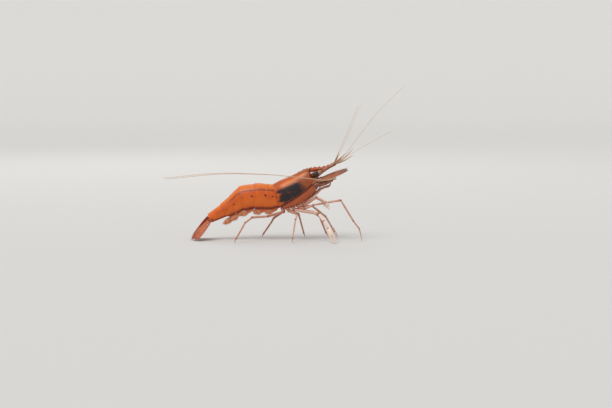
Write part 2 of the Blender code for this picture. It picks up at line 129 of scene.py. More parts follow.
ANTENNULE_BASE = [(11.6, 0.78, -0.45), (13.6, 0.85, 0.20), (16.2, 0.85, 0.72), (19.1, 0.90, 0.84)]
ANTENNULE_RADII = [0.62, 0.60, 0.54, 0.50]
ANTENNULE_CUTS, ANTENNULE_FLATS = [0.0, 0.56, 0.76, 1.0], [0.78 / 1.05, 0.92 / 1.05, 0.92 / 1.05]
ANTENNULE_SPINE = [(12.4, 1.20, -0.20), (13.4, 1.42, 0.05), (14.3, 1.36, 0.40)]
ANTENNA_BASE = [(11.5, 2.05, -1.95), (14.0, 2.10, -2.60), (16.3, 2.20, -2.75)]
ANTENNA_RADII = [0.70, 0.66, 0.48]
ANTENNA_CUTS, ANTENNA_FLATS = [0.0, 0.30, 0.55, 1.0], [1 / 0.95] * 3
ANTENNA_BLOCK = [(11.2, 1.75, -1.20), (12.6, 2.15, -1.10), (13.9, 2.35, -1.20)]
ANTENNA_SPINE = [(12.7, 2.85, -1.55), (13.5, 2.98, -1.60), (14.1, 2.95, -1.58)]
SCALE_LENGTH, SCALE_OUTER_EDGE = 8.7, 3.25
SCALE_ROOT, SCALE_BURIED = (12.9, -1.30), 0.3
SCALE_DROP = 0.95
SCALE_ROLL = math.radians(28)
SCALE_HALF_WIDTHS = [0.50, 1.00, 1.24, 1.28, 1.14, 0.80, 0.22]
SCALE_TOOTH = (0.72, 0.84, 0.93)  # shares of its length
MAXILLIPED = [(7.0, 1.05, -4.75), (10.0, 1.20, -4.50), (12.7, 1.30, -3.80), (14.9, 1.25, -4.05), (15.7, 1.15, -3.45)]
MAXILLIPED_RADII = [0.38, 0.36, 0.33, 0.27, 0.10]
MAXILLIPED_CUTS, MAXILLIPED_FLATS = [0.0, 0.36, 0.70, 1.0], [0.8] * 3

# The long feeler's route: on the head, then for the right one in the prawn's own axes
WHIP_BEND = [(15.6, 2.18, -2.72), (16.75, 2.25, -2.80), (17.6, 3.6, -2.9), (17.0, 5.0, -2.5), (14.5, 6.0, -1.6)]
WHIP_ROUTE = [(9.4, -6.8, 18.0), (4.0, -7.2, 18.6), (-3.4, -7.0, 19.2), (-16.5, -6.0, 19.4), (-31.6, -5.0, 18.0)]
WHIP_DROP = 1.0  # how far the left one runs below the right one
ANTENNULE_WHIPS = {  # in the prawn's own axes
    "outer_right": [(19.4, -1.8, 24.4), (21.7, -2.5, 27.3), (28.8, -4.0, 36.6), (36.2, -5.5, 44.0)],
    "short_right": [(19.3, -2.3, 23.5), (21.7, -3.1, 26.1)],
    "inner_right": [(18.2, -0.9, 26.0), (19.9, -1.2, 29.9), (23.1, -2.2, 38.0)],
    "outer_left": [(19.6, 1.9, 23.3), (21.9, 2.6, 24.7), (28.2, 4.5, 28.2), (33.1, 6.0, 30.7)],
    "short_left": [(19.4, 2.5, 22.5), (21.9, 3.4, 23.9)],
    "inner_left": [(18.5, 1.1, 25.4), (20.6, 1.8, 29.9), (24.2, 3.4, 38.6)],
}
# (outward, up) from the end of the antennule's base, and the radii at the root and past the thick first part
WHIP_KINDS = {
    "outer": ((0.12, 0.10), (0.30, 0.06)),
    "short": ((0.12, -0.12), (0.27, 0.12)),
    "inner": ((-0.14, 0.04), (0.19, 0.055)),
}
WHIP_RING, LONG_WHIP_RING = 0.30, 0.34  # length of one ring

LEG_SIDE = 1.55
LEG_ROOTS = [(6.0, -4.92), (4.5, -4.85), (3.0, -4.68), (1.5, -4.38), (0.1, -3.95)]  # (forward, up) for each pair
LEGS = {  # places of the joints past the coxa, in the prawn's own axes
    "leg_1_right": [(11.6, -4.6, 12.6), (14.2, -6.0, 11.3), (15.1, -6.1, 9.2)],
    "leg_1_left": [(11.3, 3.4, 11.8), (13.5, 3.0, 10.7), (14.5, 2.6, 9.0)],
    "leg_2_right": [(8.1, -3.2, 9.2), (10.6, -3.7, 10.3), (18.3, -5.4, 11.8), (21.9, -5.6, 5.9), (23.5, -5.4, 3.8),
                    (24.4, -5.0, 0)],
    "leg_2_left": [(10.3, 4.5, 9.3), (14.2, 6.3, 6.1), (15.9, 6.5, 3.2), (17.7, 6.2, 0)],
    "leg_3_right": [(12.1, -6.8, 8.1), (13.4, -7.8, 6.2), (14.6, -8.5, 4.2), (16.8, -9.9, 0)],
    "leg_3_left": [(10.7, 5.4, 7.4), (12.5, 6.4, 6.0), (14.4, 7.5, 1.2), (14.9, 7.8, 0)],
    "leg_4_right": [(6.1, -6.0, 7.9), (5.6, -6.7, 6.5), (4.8, -7.6, 1.3), (4.6, -8.0, 0)],
    "leg_4_left": [(6.4, 5.5, 6.9), (6.8, 6.3, 5.4), (7.9, 7.3, 1.2), (8.1, 7.6, 0)],
    "leg_5_right": [(-2.3, -4.0, 7.1), (-6.6, -6.2, 7.0), (-8.5, -7.0, 5.6), (-11.0, -8.0, 1.2), (-11.5, -8.3, 0)],
    "leg_5_left": [(-0.8, 5.2, 5.7), (-1.5, 5.9, 4.4), (-3.8, 7.1, 1.0), (-4.2, 7.4, 0)],
}
COXA_LENGTH = 0.75
COXA_RADIUS, BASIS_RADIUS = 0.58, 0.42
LIMB_RADII = [0.36, 0.33, 0.29, 0.24, 0.19]
LIMB_FLATNESS = 0.85
WHITE_LEG, WHITE_LEG_STOUTNESS = "leg_3_right", 1.3
CLAW_PALMS = {"leg_1_right": 0.40, "leg_1_left": 0.40, "leg_2_left": 0.36, "leg_3_right": 0.68}  # half widths
PALM_LENGTH, PALM_THICKNESS = 0.46, 0.66  # of the claw's length, and of the palm's width
FINGER_WIDTHS = {-1: 0.50, 1: 0.42}  # of the palm's half width: the fixed finger, the moving one
FINGER_BOW = 0.34
CLAW_HAIRS = 26
LEG_PALENESS = {"leg_3_right": 0.95, "leg_1_right": 0.30, "leg_1_left": 0.30, "leg_2_right": 0.15, "leg_4_right": 0.25}
LEG_DEPTH = {"leg_5_right": 0.25, "leg_5_left": 0.45, "leg_4_left": 0.30, "leg_3_left": 0.30, "leg_2_right": 0.12}

PLEOPOD = [(-0.2, 0.0), (0.85, 0.25), (1.45, 1.1), (1.85, 2.4), (2.0, 3.7)]  # (below its root, behind it)
PLEOPOD_WIDTHS = [1.0, 1.0, 1.0, 0.80, 0.75]
PLEOPOD_SIDE = 0.98
PLEOPOD_TURN = math.radians(55)
PLEOPOD_LEAVES = [(0.12, 0.92, 1.0, 0.0), (-0.34, 0.66, 0.88, 0.12)]  # shift across, width, length, lean inward

BLADE_TIP = 0.90  # share of a blade where its rounded tip starts
RIB_WIDTH = 0.13  # of a blade's half width
FRINGE_RADIUS, FRINGE_SPACING = 0.014, 0.065
HAIR_RADIUS = 0.010  # of the short scattered hairs
HAIR_TURN = 2.4  # radians from one hair to the next around a limb
PATCH = 0.003  # size of a bristle's patch in the UV map

Y, Z = Vector((0, 1, 0)), Vector((0, 0, 1))
STRAIGHT = Vector((0, 0, 0))
SIDES = {"left": 1, "right": -1}


# ---------------------------------------------------------------- curves and places

def through(values, t):
    """The smooth curve through a list of numbers, tuples or vectors, at t counted in list steps."""
    last = len(values) - 1
    i = min(max(int(t), 0), last - 1)
    f = t - i

    def at(k):
        if k < 0:
            return at(0) * 2 - at(1)
        if k > last:
            return at(last) * 2 - at(last - 1)
        return Vector(values[k]) if isinstance(values[k], (tuple, Vector)) else Vector((values[k], 0))

    a, b, c, d = at(i - 1), at(i), at(i + 1), at(i + 2)
    point = 0.5 * (2 * b + (c - a) * f + (2 * a - 5 * b + 4 * c - d) * f**2 + (3 * b - a - 3 * c + d) * f**3)
    return point if isinstance(values[0], (tuple, Vector)) else point.x


def share(values, f):
    """The curve through a list, at a share 0 to 1 of it."""
    return through(values, f * (len(values) - 1))


def shares(count):
    """Even shares from 0 to 1."""
    return [k / count for k in range(count + 1)]


def along_shares(value, count):
    """A value, or a function's values, at count even shares from 0 to 1."""
    return [value(f) if callable(value) else value for f in shares(count - 1)]


def smooth_route(points, count):
    return [share(points, f) for f in shares(count)]


def straight_route(start, end, count):
    return [start.lerp(end, f) for f in shares(count)]


def straight_through(points, x):
    """Height at x of the broken line through (x, height) points."""
    for (x0, y0), (x1, y1) in zip(points, points[1:]):
        if x <= x1:
            return y0 + (y1 - y0) * (x - x0) / (x1 - x0)
    return points[-1][1]


def step(low, high, x):
    """0 at low, 1 at high, smooth between. low may be the greater."""
    f = min(max((x - low) / (high - low), 0), 1)
    return f * f * (3 - 2 * f)


def bell(x, width):
    return math.exp(-((x / width) ** 2))


def head(forward, left, up):
    c, s = math.cos(HEAD_PITCH), math.sin(HEAD_PITCH)
    return Vector((forward * c - up * s, left, NECK_HEIGHT + forward * s + up * c))


def on_head_axis(p):
    """(forward, up) of a point on the head's own axis."""
    c, s = math.cos(HEAD_PITCH), math.sin(HEAD_PITCH)
    return p.x * c + (p.z - NECK_HEIGHT) * s, -p.x * s + (p.z - NECK_HEIGHT) * c


def head_route(points, sign):
    """Places on the head. sign is 1 on the left and -1 on the right."""
    return [head(f, sign * y, u) for f, y, u in points]


def fan(along, left, up):
    c, s = math.cos(FAN_PITCH), math.sin(FAN_PITCH)
    return Vector((FAN_ROOT[0] - along * c - up * s, left, FAN_ROOT[1] - along * s + up * c))


def fan_route(points, sign=1):
    return [fan(a, sign * y, u) for a, y, u in points]


def way(axes, *amounts):
    """A direction on the head's axes or the fan's."""
    return axes(*amounts) - axes(0, 0, 0)


def frame_shift():
    """From the prawn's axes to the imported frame, read from where an eye is."""
    low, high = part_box("eye_left")
    return (Vector(low) + Vector(high)) / 2 - head(*EYE_CENTRE) * MM


SHIFT = frame_shift()


# ---------------------------------------------------------------- meshes

class Form:
    """One piece in the making: points, faces, and for each named mark a value at each point."""

    SHARP = math.radians(55)
    ROUNDING = (0.5, 0.95, 1.3, 1.5)  # angles of the extra rings that round an end
    HAIR_CORNERS = (0.5, 2.6, 4.7)
    HAIR_TAPER = 0.75

    def __init__(self):
        self.points, self.faces, self.marks, self.patches = [], [], {}, []

    def rings(self, rings, closed=True, **marks):
        """Faces between rings of equally many points. Each mark is one value for each ring, or a list for each."""
        start, n = len(self.points), len(rings[0])
        for ring in rings:
            self.points.extend(ring)
        for r in range(len(rings) - 1):
            for k in range(n if closed else n - 1):
                a, b = start + r * n + k, start + r * n + (k + 1) % n
                self.faces.append((a, b, b + n, a + n))
        if closed:
            top = start + (len(rings) - 1) * n
            self.faces.append(tuple(range(start + n - 1, start - 1, -1)))
            self.faces.append(tuple(range(top, top + n)))
        for name, values in marks.items():
            column = self.marks.setdefault(name, [])
            column.extend([0.0] * (start - len(column)))
            for value in values:
                column.extend(value if isinstance(value, (list, tuple)) else [value] * n)

    def sheet(self, across, rows, at):
        """An open plate. at(a, v) gives a point and its marks, a from -1 to 1 across the back, v from 0 to 1."""
        rings, marks = [], {}
        for f in shares(across):
            row = [at(-1 + 2 * f, v) for v in shares(rows)]
            rings.append([p for p, _ in row])
            for name in row[0][1]:
                marks.setdefault(name, []).append([values[name] for _, values in row])
        self.rings(rings, closed=False, **marks)

    def tube(self, path, size, across=Y, sides=12, flat=1.0, rounded=(0, -1), **marks):
        """A tube along a path. size and each mark are values or functions of the share of the path. A size is a
        radius, or a pair: half width along across and half thickness."""
        path, sizes = list(path), along_shares(size, len(path))
        sizes = [s if isinstance(s, tuple) else (s, s * flat) for s in sizes]
        marks = {name: along_shares(value, len(path)) for name, value in marks.items()}
        for end in rounded:
            tip, (a, b) = path[end], sizes[end]
            out = (tip - path[1 if end == 0 else -2]).normalized()
            reach = min(a, b)
            for t in self.ROUNDING:
                at = 0 if end == 0 else len(path)
                loss = reach * (1 - math.cos(t))
                path.insert(at, tip + out * reach * math.sin(t))
                sizes.insert(at, (max(a - loss, 1e-3), max(b - loss + 1e-4, 1e-3)))
                for values in marks.values():
                    values.insert(at, values[end])
        rings, wide = [], Vector(across)
        for i, centre in enumerate(path):
            along = (path[min(i + 1, len(path) - 1)] - path[max(i - 1, 0)]).normalized()
            wide = (wide - along * wide.dot(along)).normalized()
            thick = along.cross(wide)
            a, b = sizes[i]
            angles = (2 * math.pi * k / sides for k in range(sides))
            rings.append([centre + wide * (a * math.cos(t)) + thick * (b * math.sin(t)) for t in angles])
        self.rings(rings, **marks)

    def taper(self, points, count, first, last, **settings):
        """A tube along a smooth route, from one radius to another."""
        self.tube(smooth_route(points, count), lambda f: first + (last - first) * f, **settings)

    def hair(self, root, tip, radius, sag=STRAIGHT, patch=None, segments=4):
        """One bristle, three-sided, bent by sag on its way from root to tip, with its UV patch."""
        start = len(self.points)
        along = (tip - root).normalized()
        wide = along.orthogonal().normalized()
        thick = along.cross(wide)
        for k in range(segments):
            f = k / segments
            centre = root.lerp(tip, f) + sag * (f * f)
            r = radius * (1 - self.HAIR_TAPER * f)
            self.points += [centre + wide * (r * math.cos(t)) + thick * (r * math.sin(t)) for t in self.HAIR_CORNERS]
        self.points.append(tip + sag)
        for k in range(segments - 1):
            for j in range(3):
                a, b = start + 3 * k + j, start + 3 * k + (j + 1) % 3
                self.faces.append((a, b, b + 3, a + 3))
        last = start + 3 * (segments - 1)
        self.faces += [(last + j, last + (j + 1) % 3, last + 3) for j in range(3)]
        self.faces.append((start + 2, start + 1, start))
        if patch is not None:
            self.patches.append((start, len(self.points), patch))

    def piece(self, name, material, slot, stands_for=None, thickness=0.0):
        """Puts this form in the scene as a piece, instead of the CAD node that it stands for. Nothing of it is below
        the floor. An open plate needs a thickness."""
        mesh = bpy.data.meshes.new(name)
        mesh.from_pydata([Vector((p.x, p.y, max(p.z, 0.0))) * MM + SHIFT for p in self.points], [], self.faces)
        for mark, values in self.marks.items():
            layer = mesh.attributes.new(mark, "FLOAT", "POINT")
            layer.data.foreach_set("value", values + [0.0] * (len(self.points) - len(values)))
        if self.patches:
            self.lay_patches(mesh)
        mesh.validate()
        mesh.shade_smooth()
        mesh.set_sharp_from_angle(angle=self.SHARP)
        mesh.materials.append(material)
        obj = bpy.data.objects.new(name, mesh)
        bpy.context.scene.collection.objects.link(obj)
        if thickness:
            wall = obj.modifiers.new("wall", "SOLIDIFY")
            wall.thickness = thickness * MM
            wall.offset = -1
        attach(obj, "root")
        if stands_for:
            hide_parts(stands_for)

    def lay_patches(self, mesh):
        """Each bristle's corners lie in a small patch at its root's place on its blade."""
        places = [(0.5, 0.5)] * len(self.points)
        for start, end, (u, v) in self.patches:
            for i in range(start, end):
                f = (i - start) / max(end - start - 1, 1)
                places[i] = (u + PATCH * f, v + PATCH * ((i - start) % 3) / 2)
        layer = mesh.uv_layers.new(name="OFBake")
        for loop in mesh.loops:
            layer.data[loop.index].uv = places[loop.vertex_index]


# ---------------------------------------------------------------- materials

def srgb(r, g, b):
    """Linear colour from the 0 to 255 values of a screen colour."""
    return tuple(((c / 255 + 0.055) / 1.055) ** 2.4 if c > 10 else c / 255 / 12.92 for c in (r, g, b))


class Shader:
    """A Principled material with short calls for its nodes. Sizes are in millimetres."""

    def __init__(self, name, roughness, coat=0.0, subsurface=0.0, **sockets):
        self.material = bpy.data.materials.new(name)
        self.material.use_nodes = True
        self.tree = self.material.node_tree
        self.shader = self.tree.nodes["Principled BSDF"]
        finish = dict(Roughness=roughness, Coat_Weight=coat, Coat_Roughness=0.12, Subsurface_Weight=subsurface,
                      Subsurface_Radius=(0.9, 0.35, 0.15), Subsurface_Scale=0.6 * MM)
        for key, value in (finish | sockets).items():
            self.shader.inputs[key.replace("_", " ")].default_value = value
        self.place = self.tree.nodes.new("ShaderNodeTexCoord").outputs["Object"]

    def feed(self, socket, source):
        self.tree.links.new(source, self.shader.inputs[socket])

    def node(self, kind, sockets, **settings):
        """A node with its settings, and a value or a link for each of its sockets."""
        node = self.tree.nodes.new(kind)
        for name, setting in settings.items():
            setattr(node, name, setting)
        for socket, value in sockets.items():
            if isinstance(value, bpy.types.NodeSocket):
                self.tree.links.new(value, node.inputs[socket])
            else:
                node.inputs[socket].default_value = value
        return node.outputs

    def mark(self, name):
        return self.node("ShaderNodeAttribute", {}, attribute_name=name)["Fac"]

    def noise(self, size, detail=3.0, roughness=0.55):
        """Noise with lumps of about this size."""
        sockets = {"Vector": self.place, "Scale": 1 / (size * MM), "Detail": detail, "Roughness": roughness}
        return self.node("ShaderNodeTexNoise", sockets)["Fac"]

    def cells(self, size, feature="F1"):
        sockets = {"Vector": self.place, "Scale": 1 / (size * MM)}
        return self.node("ShaderNodeTexVoronoi", sockets, feature=feature)["Distance"]

    def math(self, operation, a, b=0.0):
        return self.node("ShaderNodeMath", {0: a, 1: b}, operation=operation)[0]

    def remap(self, value, low, high, to_low=0.0, to_high=1.0):
        sockets = {"Value": value, "From Min": low, "From Max": high, "To Min": to_low, "To Max": to_high}
        return self.node("ShaderNodeMapRange", sockets, interpolation_type="SMOOTHSTEP")["Result"]

    def mix(self, a, b, share_of_b):
        a, b = ((*c, 1.0) if isinstance(c, tuple) else c for c in (a, b))
        return self.node("ShaderNodeMix", {6: a, 7: b, 0: share_of_b}, data_type="RGBA")[2]

    def uneven(self, mark, size, detail, low, high, least, roughness=0.55):
        """A mark whose strength wanders down to least over lumps of about this size."""
        wander = self.remap(self.noise(size, detail, roughness), low, high, least, 1.0)
        return self.math("MULTIPLY", self.mark(mark), wander)

    def bump(self, height, strength, distance):
        sockets = {"Height": height, "Strength": strength, "Distance": distance * MM}
        self.feed("Normal", self.node("ShaderNodeBump", sockets)["Normal"])


SHELL_ORANGE, SHELL_DEEP, SHELL_PALE = srgb(216, 96, 12), srgb(184, 68, 4), srgb(230, 126, 36)
FLANK_BROWN, FLANK_PINK = srgb(126, 66, 30), srgb(178, 90, 54)
LINE_BROWN, SPOT_BROWN, ORGAN_DARK = srgb(78, 20, 6), srgb(70, 12, 2), srgb(30, 16, 22)


def shell_material():
    """Orange shell, grained with dark dots, that takes the marks of the plates."""
    s = Shader("shell", 0.42, coat=0.18, subsurface=0.12, Specular_IOR_Level=0.35)
    colour = s.mix(SHELL_ORANGE, SHELL_DEEP, s.remap(s.noise(2.2, 4), 0.35, 0.72, 0.0, 0.55))
    colour = s.mix(colour, FLANK_BROWN, s.uneven("brown", 1.6, 4, 0.30, 0.70, 0.65))
    colour = s.mix(colour, SHELL_PALE, s.uneven("pale", 1.1, 3, 0.30, 0.70, 0.55))
    colour = s.mix(colour, SHELL_DEEP, s.uneven("deep", 0.8, 3, 0.25, 0.75, 0.60))
    colour = s.mix(colour, FLANK_PINK, s.mark("pink"))
    dots, where = s.remap(s.cells(0.34), 0.16, 0.06), s.remap(s.noise(1.7, 2), 0.38, 0.58, 0.0, 0.55)
    colour = s.mix(colour, LINE_BROWN, s.math("MULTIPLY", dots, where))
    colour = s.mix(colour, ORGAN_DARK, s.uneven("organ", 1.3, 4, 0.22, 0.50, 0.55, roughness=0.6))
    colour = s.mix(colour, LINE_BROWN, s.uneven("line", 0.7, 3, 0.20, 0.60, 0.60))
    colour = s.mix(colour, SPOT_BROWN, s.mark("spot"))
    s.feed("Base Color", colour)
    s.feed("Roughness", s.remap(s.noise(0.5, 3), 0.3, 0.7, 0.32, 0.50))
    fine, coarse = s.math("MULTIPLY", s.noise(0.28, 2), 0.6), s.math("MULTIPLY", s.noise(1.4, 2), 0.8)
    s.bump(s.math("ADD", fine, coarse), 0.35, 0.05)
    return s.material


def two_tone(name, finish, tones, wander, marks=(), grain=None, most=1.0):
    """A shader that wanders between two tones, then takes the colour of each mark in turn.

    finish is (roughness, coat, subsurface), wander (size of lumps, detail, low, high), each mark (name, colour,
    strength), and grain (size, detail, strength, distance) of a fine bump."""
    s = Shader(name, *finish)
    size, detail, low, high = wander
    colour = s.mix(srgb(*tones[0]), srgb(*tones[1]), s.remap(s.noise(size, detail), low, high, 0.0, most))
    for mark, over, strength in marks:
        amount = s.mark(mark) if strength == 1 else s.math("MULTIPLY", s.mark(mark), strength)
        colour = s.mix(colour, srgb(*over), amount)
    s.feed("Base Color", colour)
    if grain:
        s.bump(s.noise(*grain[:2]), *grain[2:])
    return s


def limb_material():
    """Pale pink, darker at the joints."""
    marks = [("pale", (238, 212, 194), 1), ("deep", (168, 84, 44), 1), ("joint", (138, 60, 32), 0.7)]
    s = two_tone("limb", (0.36, 0.3, 0.18), [(204, 150, 124), (180, 108, 82)], (1.0, 3, 0.35, 0.70), marks,
                 (0.22, 3, 0.3, 0.04), most=0.6)
    s.feed("Roughness", s.remap(s.noise(0.4, 2), 0.3, 0.7, 0.26, 0.42))
    return s.material


def whip_material():
    """Ringed all along, paler towards the tip."""
    s = Shader("whip", 0.42, coat=0.2, subsurface=0.2)
    rings = s.math("SINE", s.math("MULTIPLY", s.mark("ring"), 2 * math.pi))
    colour = s.mix(srgb(168, 116, 84), srgb(206, 174, 140), s.remap(s.mark("tip"), 0.0, 0.45))
    colour = s.mix(colour, srgb(104, 60, 38), s.remap(rings, 0.2, 1.0, 0.0, 0.4))
    s.feed("Base Color", colour)
    s.bump(rings, 0.6, 0.03)
    return s.material


def blade_material(name, light, dark, deep, pale):
    marks = [("deep", deep, 1), ("pale", pale, 1)]
    return two_tone(name, (0.36, 0.3, 0.12), [light, dark], (1.4, 4, 0.35, 0.68), marks, (0.3, 3, 0.3, 0.04)).material


def eye_material():
    """Dark and glossy, with fine facets, and a painted golden-brown reflection in a ring round the cornea's rim."""
    s = Shader("cornea", 0.16, coat=0.4, Coat_Roughness=0.03, Specular_IOR_Level=0.4)
    colour = s.mix(srgb(16, 7, 4), srgb(48, 24, 12), s.remap(s.noise(0.7, 2), 0.45, 0.75))
    # The pale mark is a painted reflection: a golden-brown ring at the cornea's rim.
    s.feed("Base Color", s.mix(colour, srgb(104, 66, 40), s.mark("pale")))
    s.bump(s.cells(0.055, "DISTANCE_TO_EDGE"), 0.12, 0.01)
    return s.material


SHELL, LIMB, WHIP, EYE = shell_material(), limb_material(), whip_material(), eye_material()
FEELER = two_tone("feeler", (0.38, 0.25, 0.15), [(166, 98, 62), (120, 62, 36)], (0.9, 3, 0.35, 0.68),
                  [("pale", (186, 112, 74), 1), ("line", (64, 28, 18), 0.85)], (0.2, 2, 0.3, 0.03)).material
# Swimmeret tones are lighter than their own colour: painted light that makes up for the shade they lie in under the
# abdomen.
LIGHTENED_LEAF = two_tone("swimmeret", (0.40, 0.25, 0.25), [(240, 154, 106), (224, 118, 58)], (0.9, 3, 0.38, 0.66),
                [("deep", (160, 76, 44), 0.45), ("pale", (226, 158, 122), 1)], (0.25, 2, 0.25, 0.03)).material
FLESH = two_tone("flesh", (0.45, 0.2, 0.3), [(168, 78, 34), (118, 46, 22)], (1.5, 4, 0.35, 0.68),
                 grain=(0.5, 3, 0.4, 0.06)).material
BRISTLE = two_tone("bristle", (0.5, 0.0, 0.1), [(196, 128, 88), (150, 84, 54)], (1.2, 2, 0.35, 0.65)).material
TAIL = blade_material("tail", (182, 84, 30), (140, 50, 14), (100, 28, 8), (208, 116, 54))
SCALE = blade_material("scale", (164, 94, 60), (132, 70, 42), (88, 44, 28), (190, 124, 88))


# ---------------------------------------------------------------- carapace

def profile(a, roof, tuck):
    """(depth, side) shares on one flank: a runs from 0 on the back to 1 at the lower edge."""
    if a < 0.5:
        return roof * (1 - math.cos(math.pi * a)), math.sin(math.pi * a)
    q = 2 * a - 1
    return roof + (1 - roof) * q, 1 - tuck * q * q


def shell_point(back, edge, half_width, shape, a, widen, hang=0.0):
    """A point of the shell: a is 0 on the back, 1 and -1 at the left and right lower edges. widen pushes it outward
    and hang lets the lower edge down."""
    depth, side = profile(abs(a), *shape)
    place = back.lerp(edge, depth) + Y * (side * half_width * (1 if a > 0 else -1))
    place += (edge - back).normalized() * (hang * step(0.72, 1.0, abs(a)))
    return place + (place - back.lerp(edge, 0.5)).normalized() * widen


def flesh_ring(back, edge, half_width, left, deepest, middle, size):
    """A closed ring inside the shell: left holds (depth, side) down the left flank, and the right mirrors it."""
    centre = back.lerp(edge, middle)
    whole = left + [(d, -s) for d, s in reversed(left[1:-1])]
    return [centre + (back.lerp(edge, min(d, deepest)) + Y * (s * half_width) - centre) * size for d, s in whole]


def carapace_lines(t):
    back, edge = through(CARAPACE_BACK, t), through(CARAPACE_EDGE, t)
    return head(back.x, 0, back.y), head(edge.x, 0, edge.y)


def carapace_point(t, a, widen=0.0):
    return shell_point(*carapace_lines(t), through(CARAPACE_WIDTHS, t), CARAPACE_SHAPE, a, widen)


def carapace_relief(a, v, t, f, u, off):
    """How far the carapace stands out at forward f, up u, and off above the side furrow."""
    flank = abs(a)
    keel = 0.07 * bell(a, 0.05) * step(3.0, 5.4, t)
    front_rim = 0.05 * bell(1 - v, 0.02) * step(0.1, 0.3, flank)
    rims = 0.05 * bell(v, 0.02) + front_rim + 0.05 * bell(1 - flank, 0.03)
    side_furrow = 0.10 * bell(off, 0.22) * step(0.0, 0.8, f)
    neck_furrow = 0.07 * bell(f - (8.3 - 0.35 * u), 0.3) * step(-2.2, -1.4, u) * step(2.4, 1.2, u)
    swelling_behind_eye = 0.16 * bell(f - 9.6, 1.0) * bell(u + 0.5, 0.8)
    edge_turned_in = 0.25 * step(0.96, 1.0, flank) ** 2
    return 0.05 + keel + rims - side_furrow - neck_furrow + swelling_behind_eye - edge_turned_in


def organ_mark(f, u):
    """The dark organs that show through the shell: a long patch with a ragged rear edge."""
    lower = straight_through(FURROW, f) + 0.35 - 0.25 * bell(f - 5.6, 2.0)
    upper = 2.0 - 0.05 * f
    ragged = 0.55 * math.sin(2.1 * u + 1.0) + 0.25 * math.sin(5.3 * u)
    inside = step(0.3 + ragged, 1.6 + ragged, f) * step(9.2, 7.4, f + 0.35 * u)
    return inside * step(lower - 0.25, lower + 0.35, u) * step(upper, upper - 0.8, u)


def carapace_marks(p, a, v, t, f, u, off):
    """Brown above the side furrow and pink below it, a dark line along it, spots, organs and paler bands. The pale
    band along the upper flank is partly the shell's own paler stripe and partly a painted highlight.
    """
    above = step(-0.2, 0.3, off)
    furrow_line = 1.3 * bell(off, 0.27) * step(-0.6, 0.4, f) * step(12.8, 11.5, f)
    edge_lines = 0.65 * bell(1 - abs(a), 0.022) * step(5.6, 5.0, t) + 0.35 * bell(v, 0.012)
    # The pale band along the upper flank is partly the shell's own stripe and partly a painted highlight.
    stripe_and_painted_highlight = 0.85 * bell(u - 2.2, 0.45) * step(1.5, 4.0, f) * step(12.0, 9.5, f)
    low_band = 0.5 * step(-0.3, -0.9, off) * step(-2.0, -0.7, off)
    return dict(
        line=min(furrow_line + edge_lines, 1),
        spot=max(step(1.45, 0.75, math.hypot(p.x - x, p.z - z) / radius) for x, z, radius in CARAPACE_SPOTS),
        organ=organ_mark(f, u),
        pale=stripe_and_painted_highlight + low_band,
        deep=0.5 * bell(u - 3.4, 0.5) * step(9, 4, f),
        brown=above * (0.48 * step(-0.3, 1.5, f) + 0.47 * step(5.0, 9.5, f)),
        pink=0.85 * (1 - above),
    )


def make_carapace():
    """The shell over the head and the roots of the legs, from its rear edge to the orbits."""
    def at(a, v):
        rear = -0.16 + 0.45 * step(0.78, 1.0, abs(a))
        t = rear + (straight_through(FRONT_EDGE, abs(a)) - rear) * v
        p = carapace_point(t, a)
        f, u = on_head_axis(p)
        off = u - straight_through(FURROW, f)
        return carapace_point(t, a, carapace_relief(a, v, t, f, u, off)), carapace_marks(p, a, v, t, f, u, off)

    form = Form()
    form.sheet(150, 110, at)
    form.piece("carapace_shell", SHELL, "shell", "carapace", thickness=0.12)


def tooth(teeth, height, f, start):
    """Height and forward lean of a toothed edge at a share f of it, the first tooth at start."""
    phase = (f - start) / (1 - start) * teeth
    if f < start or phase >= teeth:
        return 0.0, 0.0
    p = phase - int(phase)
    rise = (p / TOOTH_CREST) ** 1.6 if p < TOOTH_CREST else max(0.0, 1 - (p - TOOTH_CREST) / TOOTH_FALL)
    return height * rise, TOOTH_LEAN * rise


def make_rostrum():
    """A thin blade with a rib along each side and forward-leaning teeth above and below."""
    form = Form()
    rings = []
    for f in shares(300):
        top, keel = share(ROSTRUM_TOP, f), share(ROSTRUM_KEEL, f)
        above, lean = tooth(TEETH_ABOVE, TOOTH_HEIGHT * (1 - 0.35 * f), f, FIRST_TOOTH)
        below, lean_low = tooth(TEETH_BELOW, TOOTH_HEIGHT * 0.75, f, FIRST_TOOTH_BELOW)
        thin = 1 - 0.75 * step(0.75, 1.0, f)
        rib = 0.26 * thin * (1 + 1.2 * step(0.45, 0.1, f))
        mid = keel.y + (top.y - keel.y) * 0.42
        high, low = top.y + above + 0.06 * step(0.5, 0.1, f), keel.y - below
        left = [  # (left, up, forward) from the upper edge to the keel
            (0.020, high, top.x + lean), (0.050, top.y - 0.12, top.x),
            (0.10 * thin, top.y - 0.32 * (top.y - mid), top.x), (rib, mid + 0.10, top.x),
            (rib, mid - 0.10, top.x), (0.10 * thin, mid - 0.5 * (mid - keel.y), top.x),
            (0.05, keel.y + 0.06, keel.x), (0.020, low, keel.x + lean_low),
        ]
        whole = left + [(-y, u, x) for y, u, x in reversed(left)]
        rings.append([head(x, y, u) for y, u, x in whole])
    deep = [0.9 if i in (0, 15) else 0.35 for i in range(16)]
    form.rings(rings, deep=[deep] * len(rings), brown=[0.75] * len(rings))
    hairs = TEETH_ABOVE * HAIRS_BY_TOOTH
    for k in range(hairs):
        place = share(ROSTRUM_TOP, 0.08 + 0.9 * k / hairs)
        root = head(place.x, 0, place.y - 0.1)
        form.hair(root, root + way(head, 0.42, 0, 0.38), 0.012, Vector((0.05, 0, -0.02)))
    form.piece("rostrum", SHELL, "shell", "carapace")


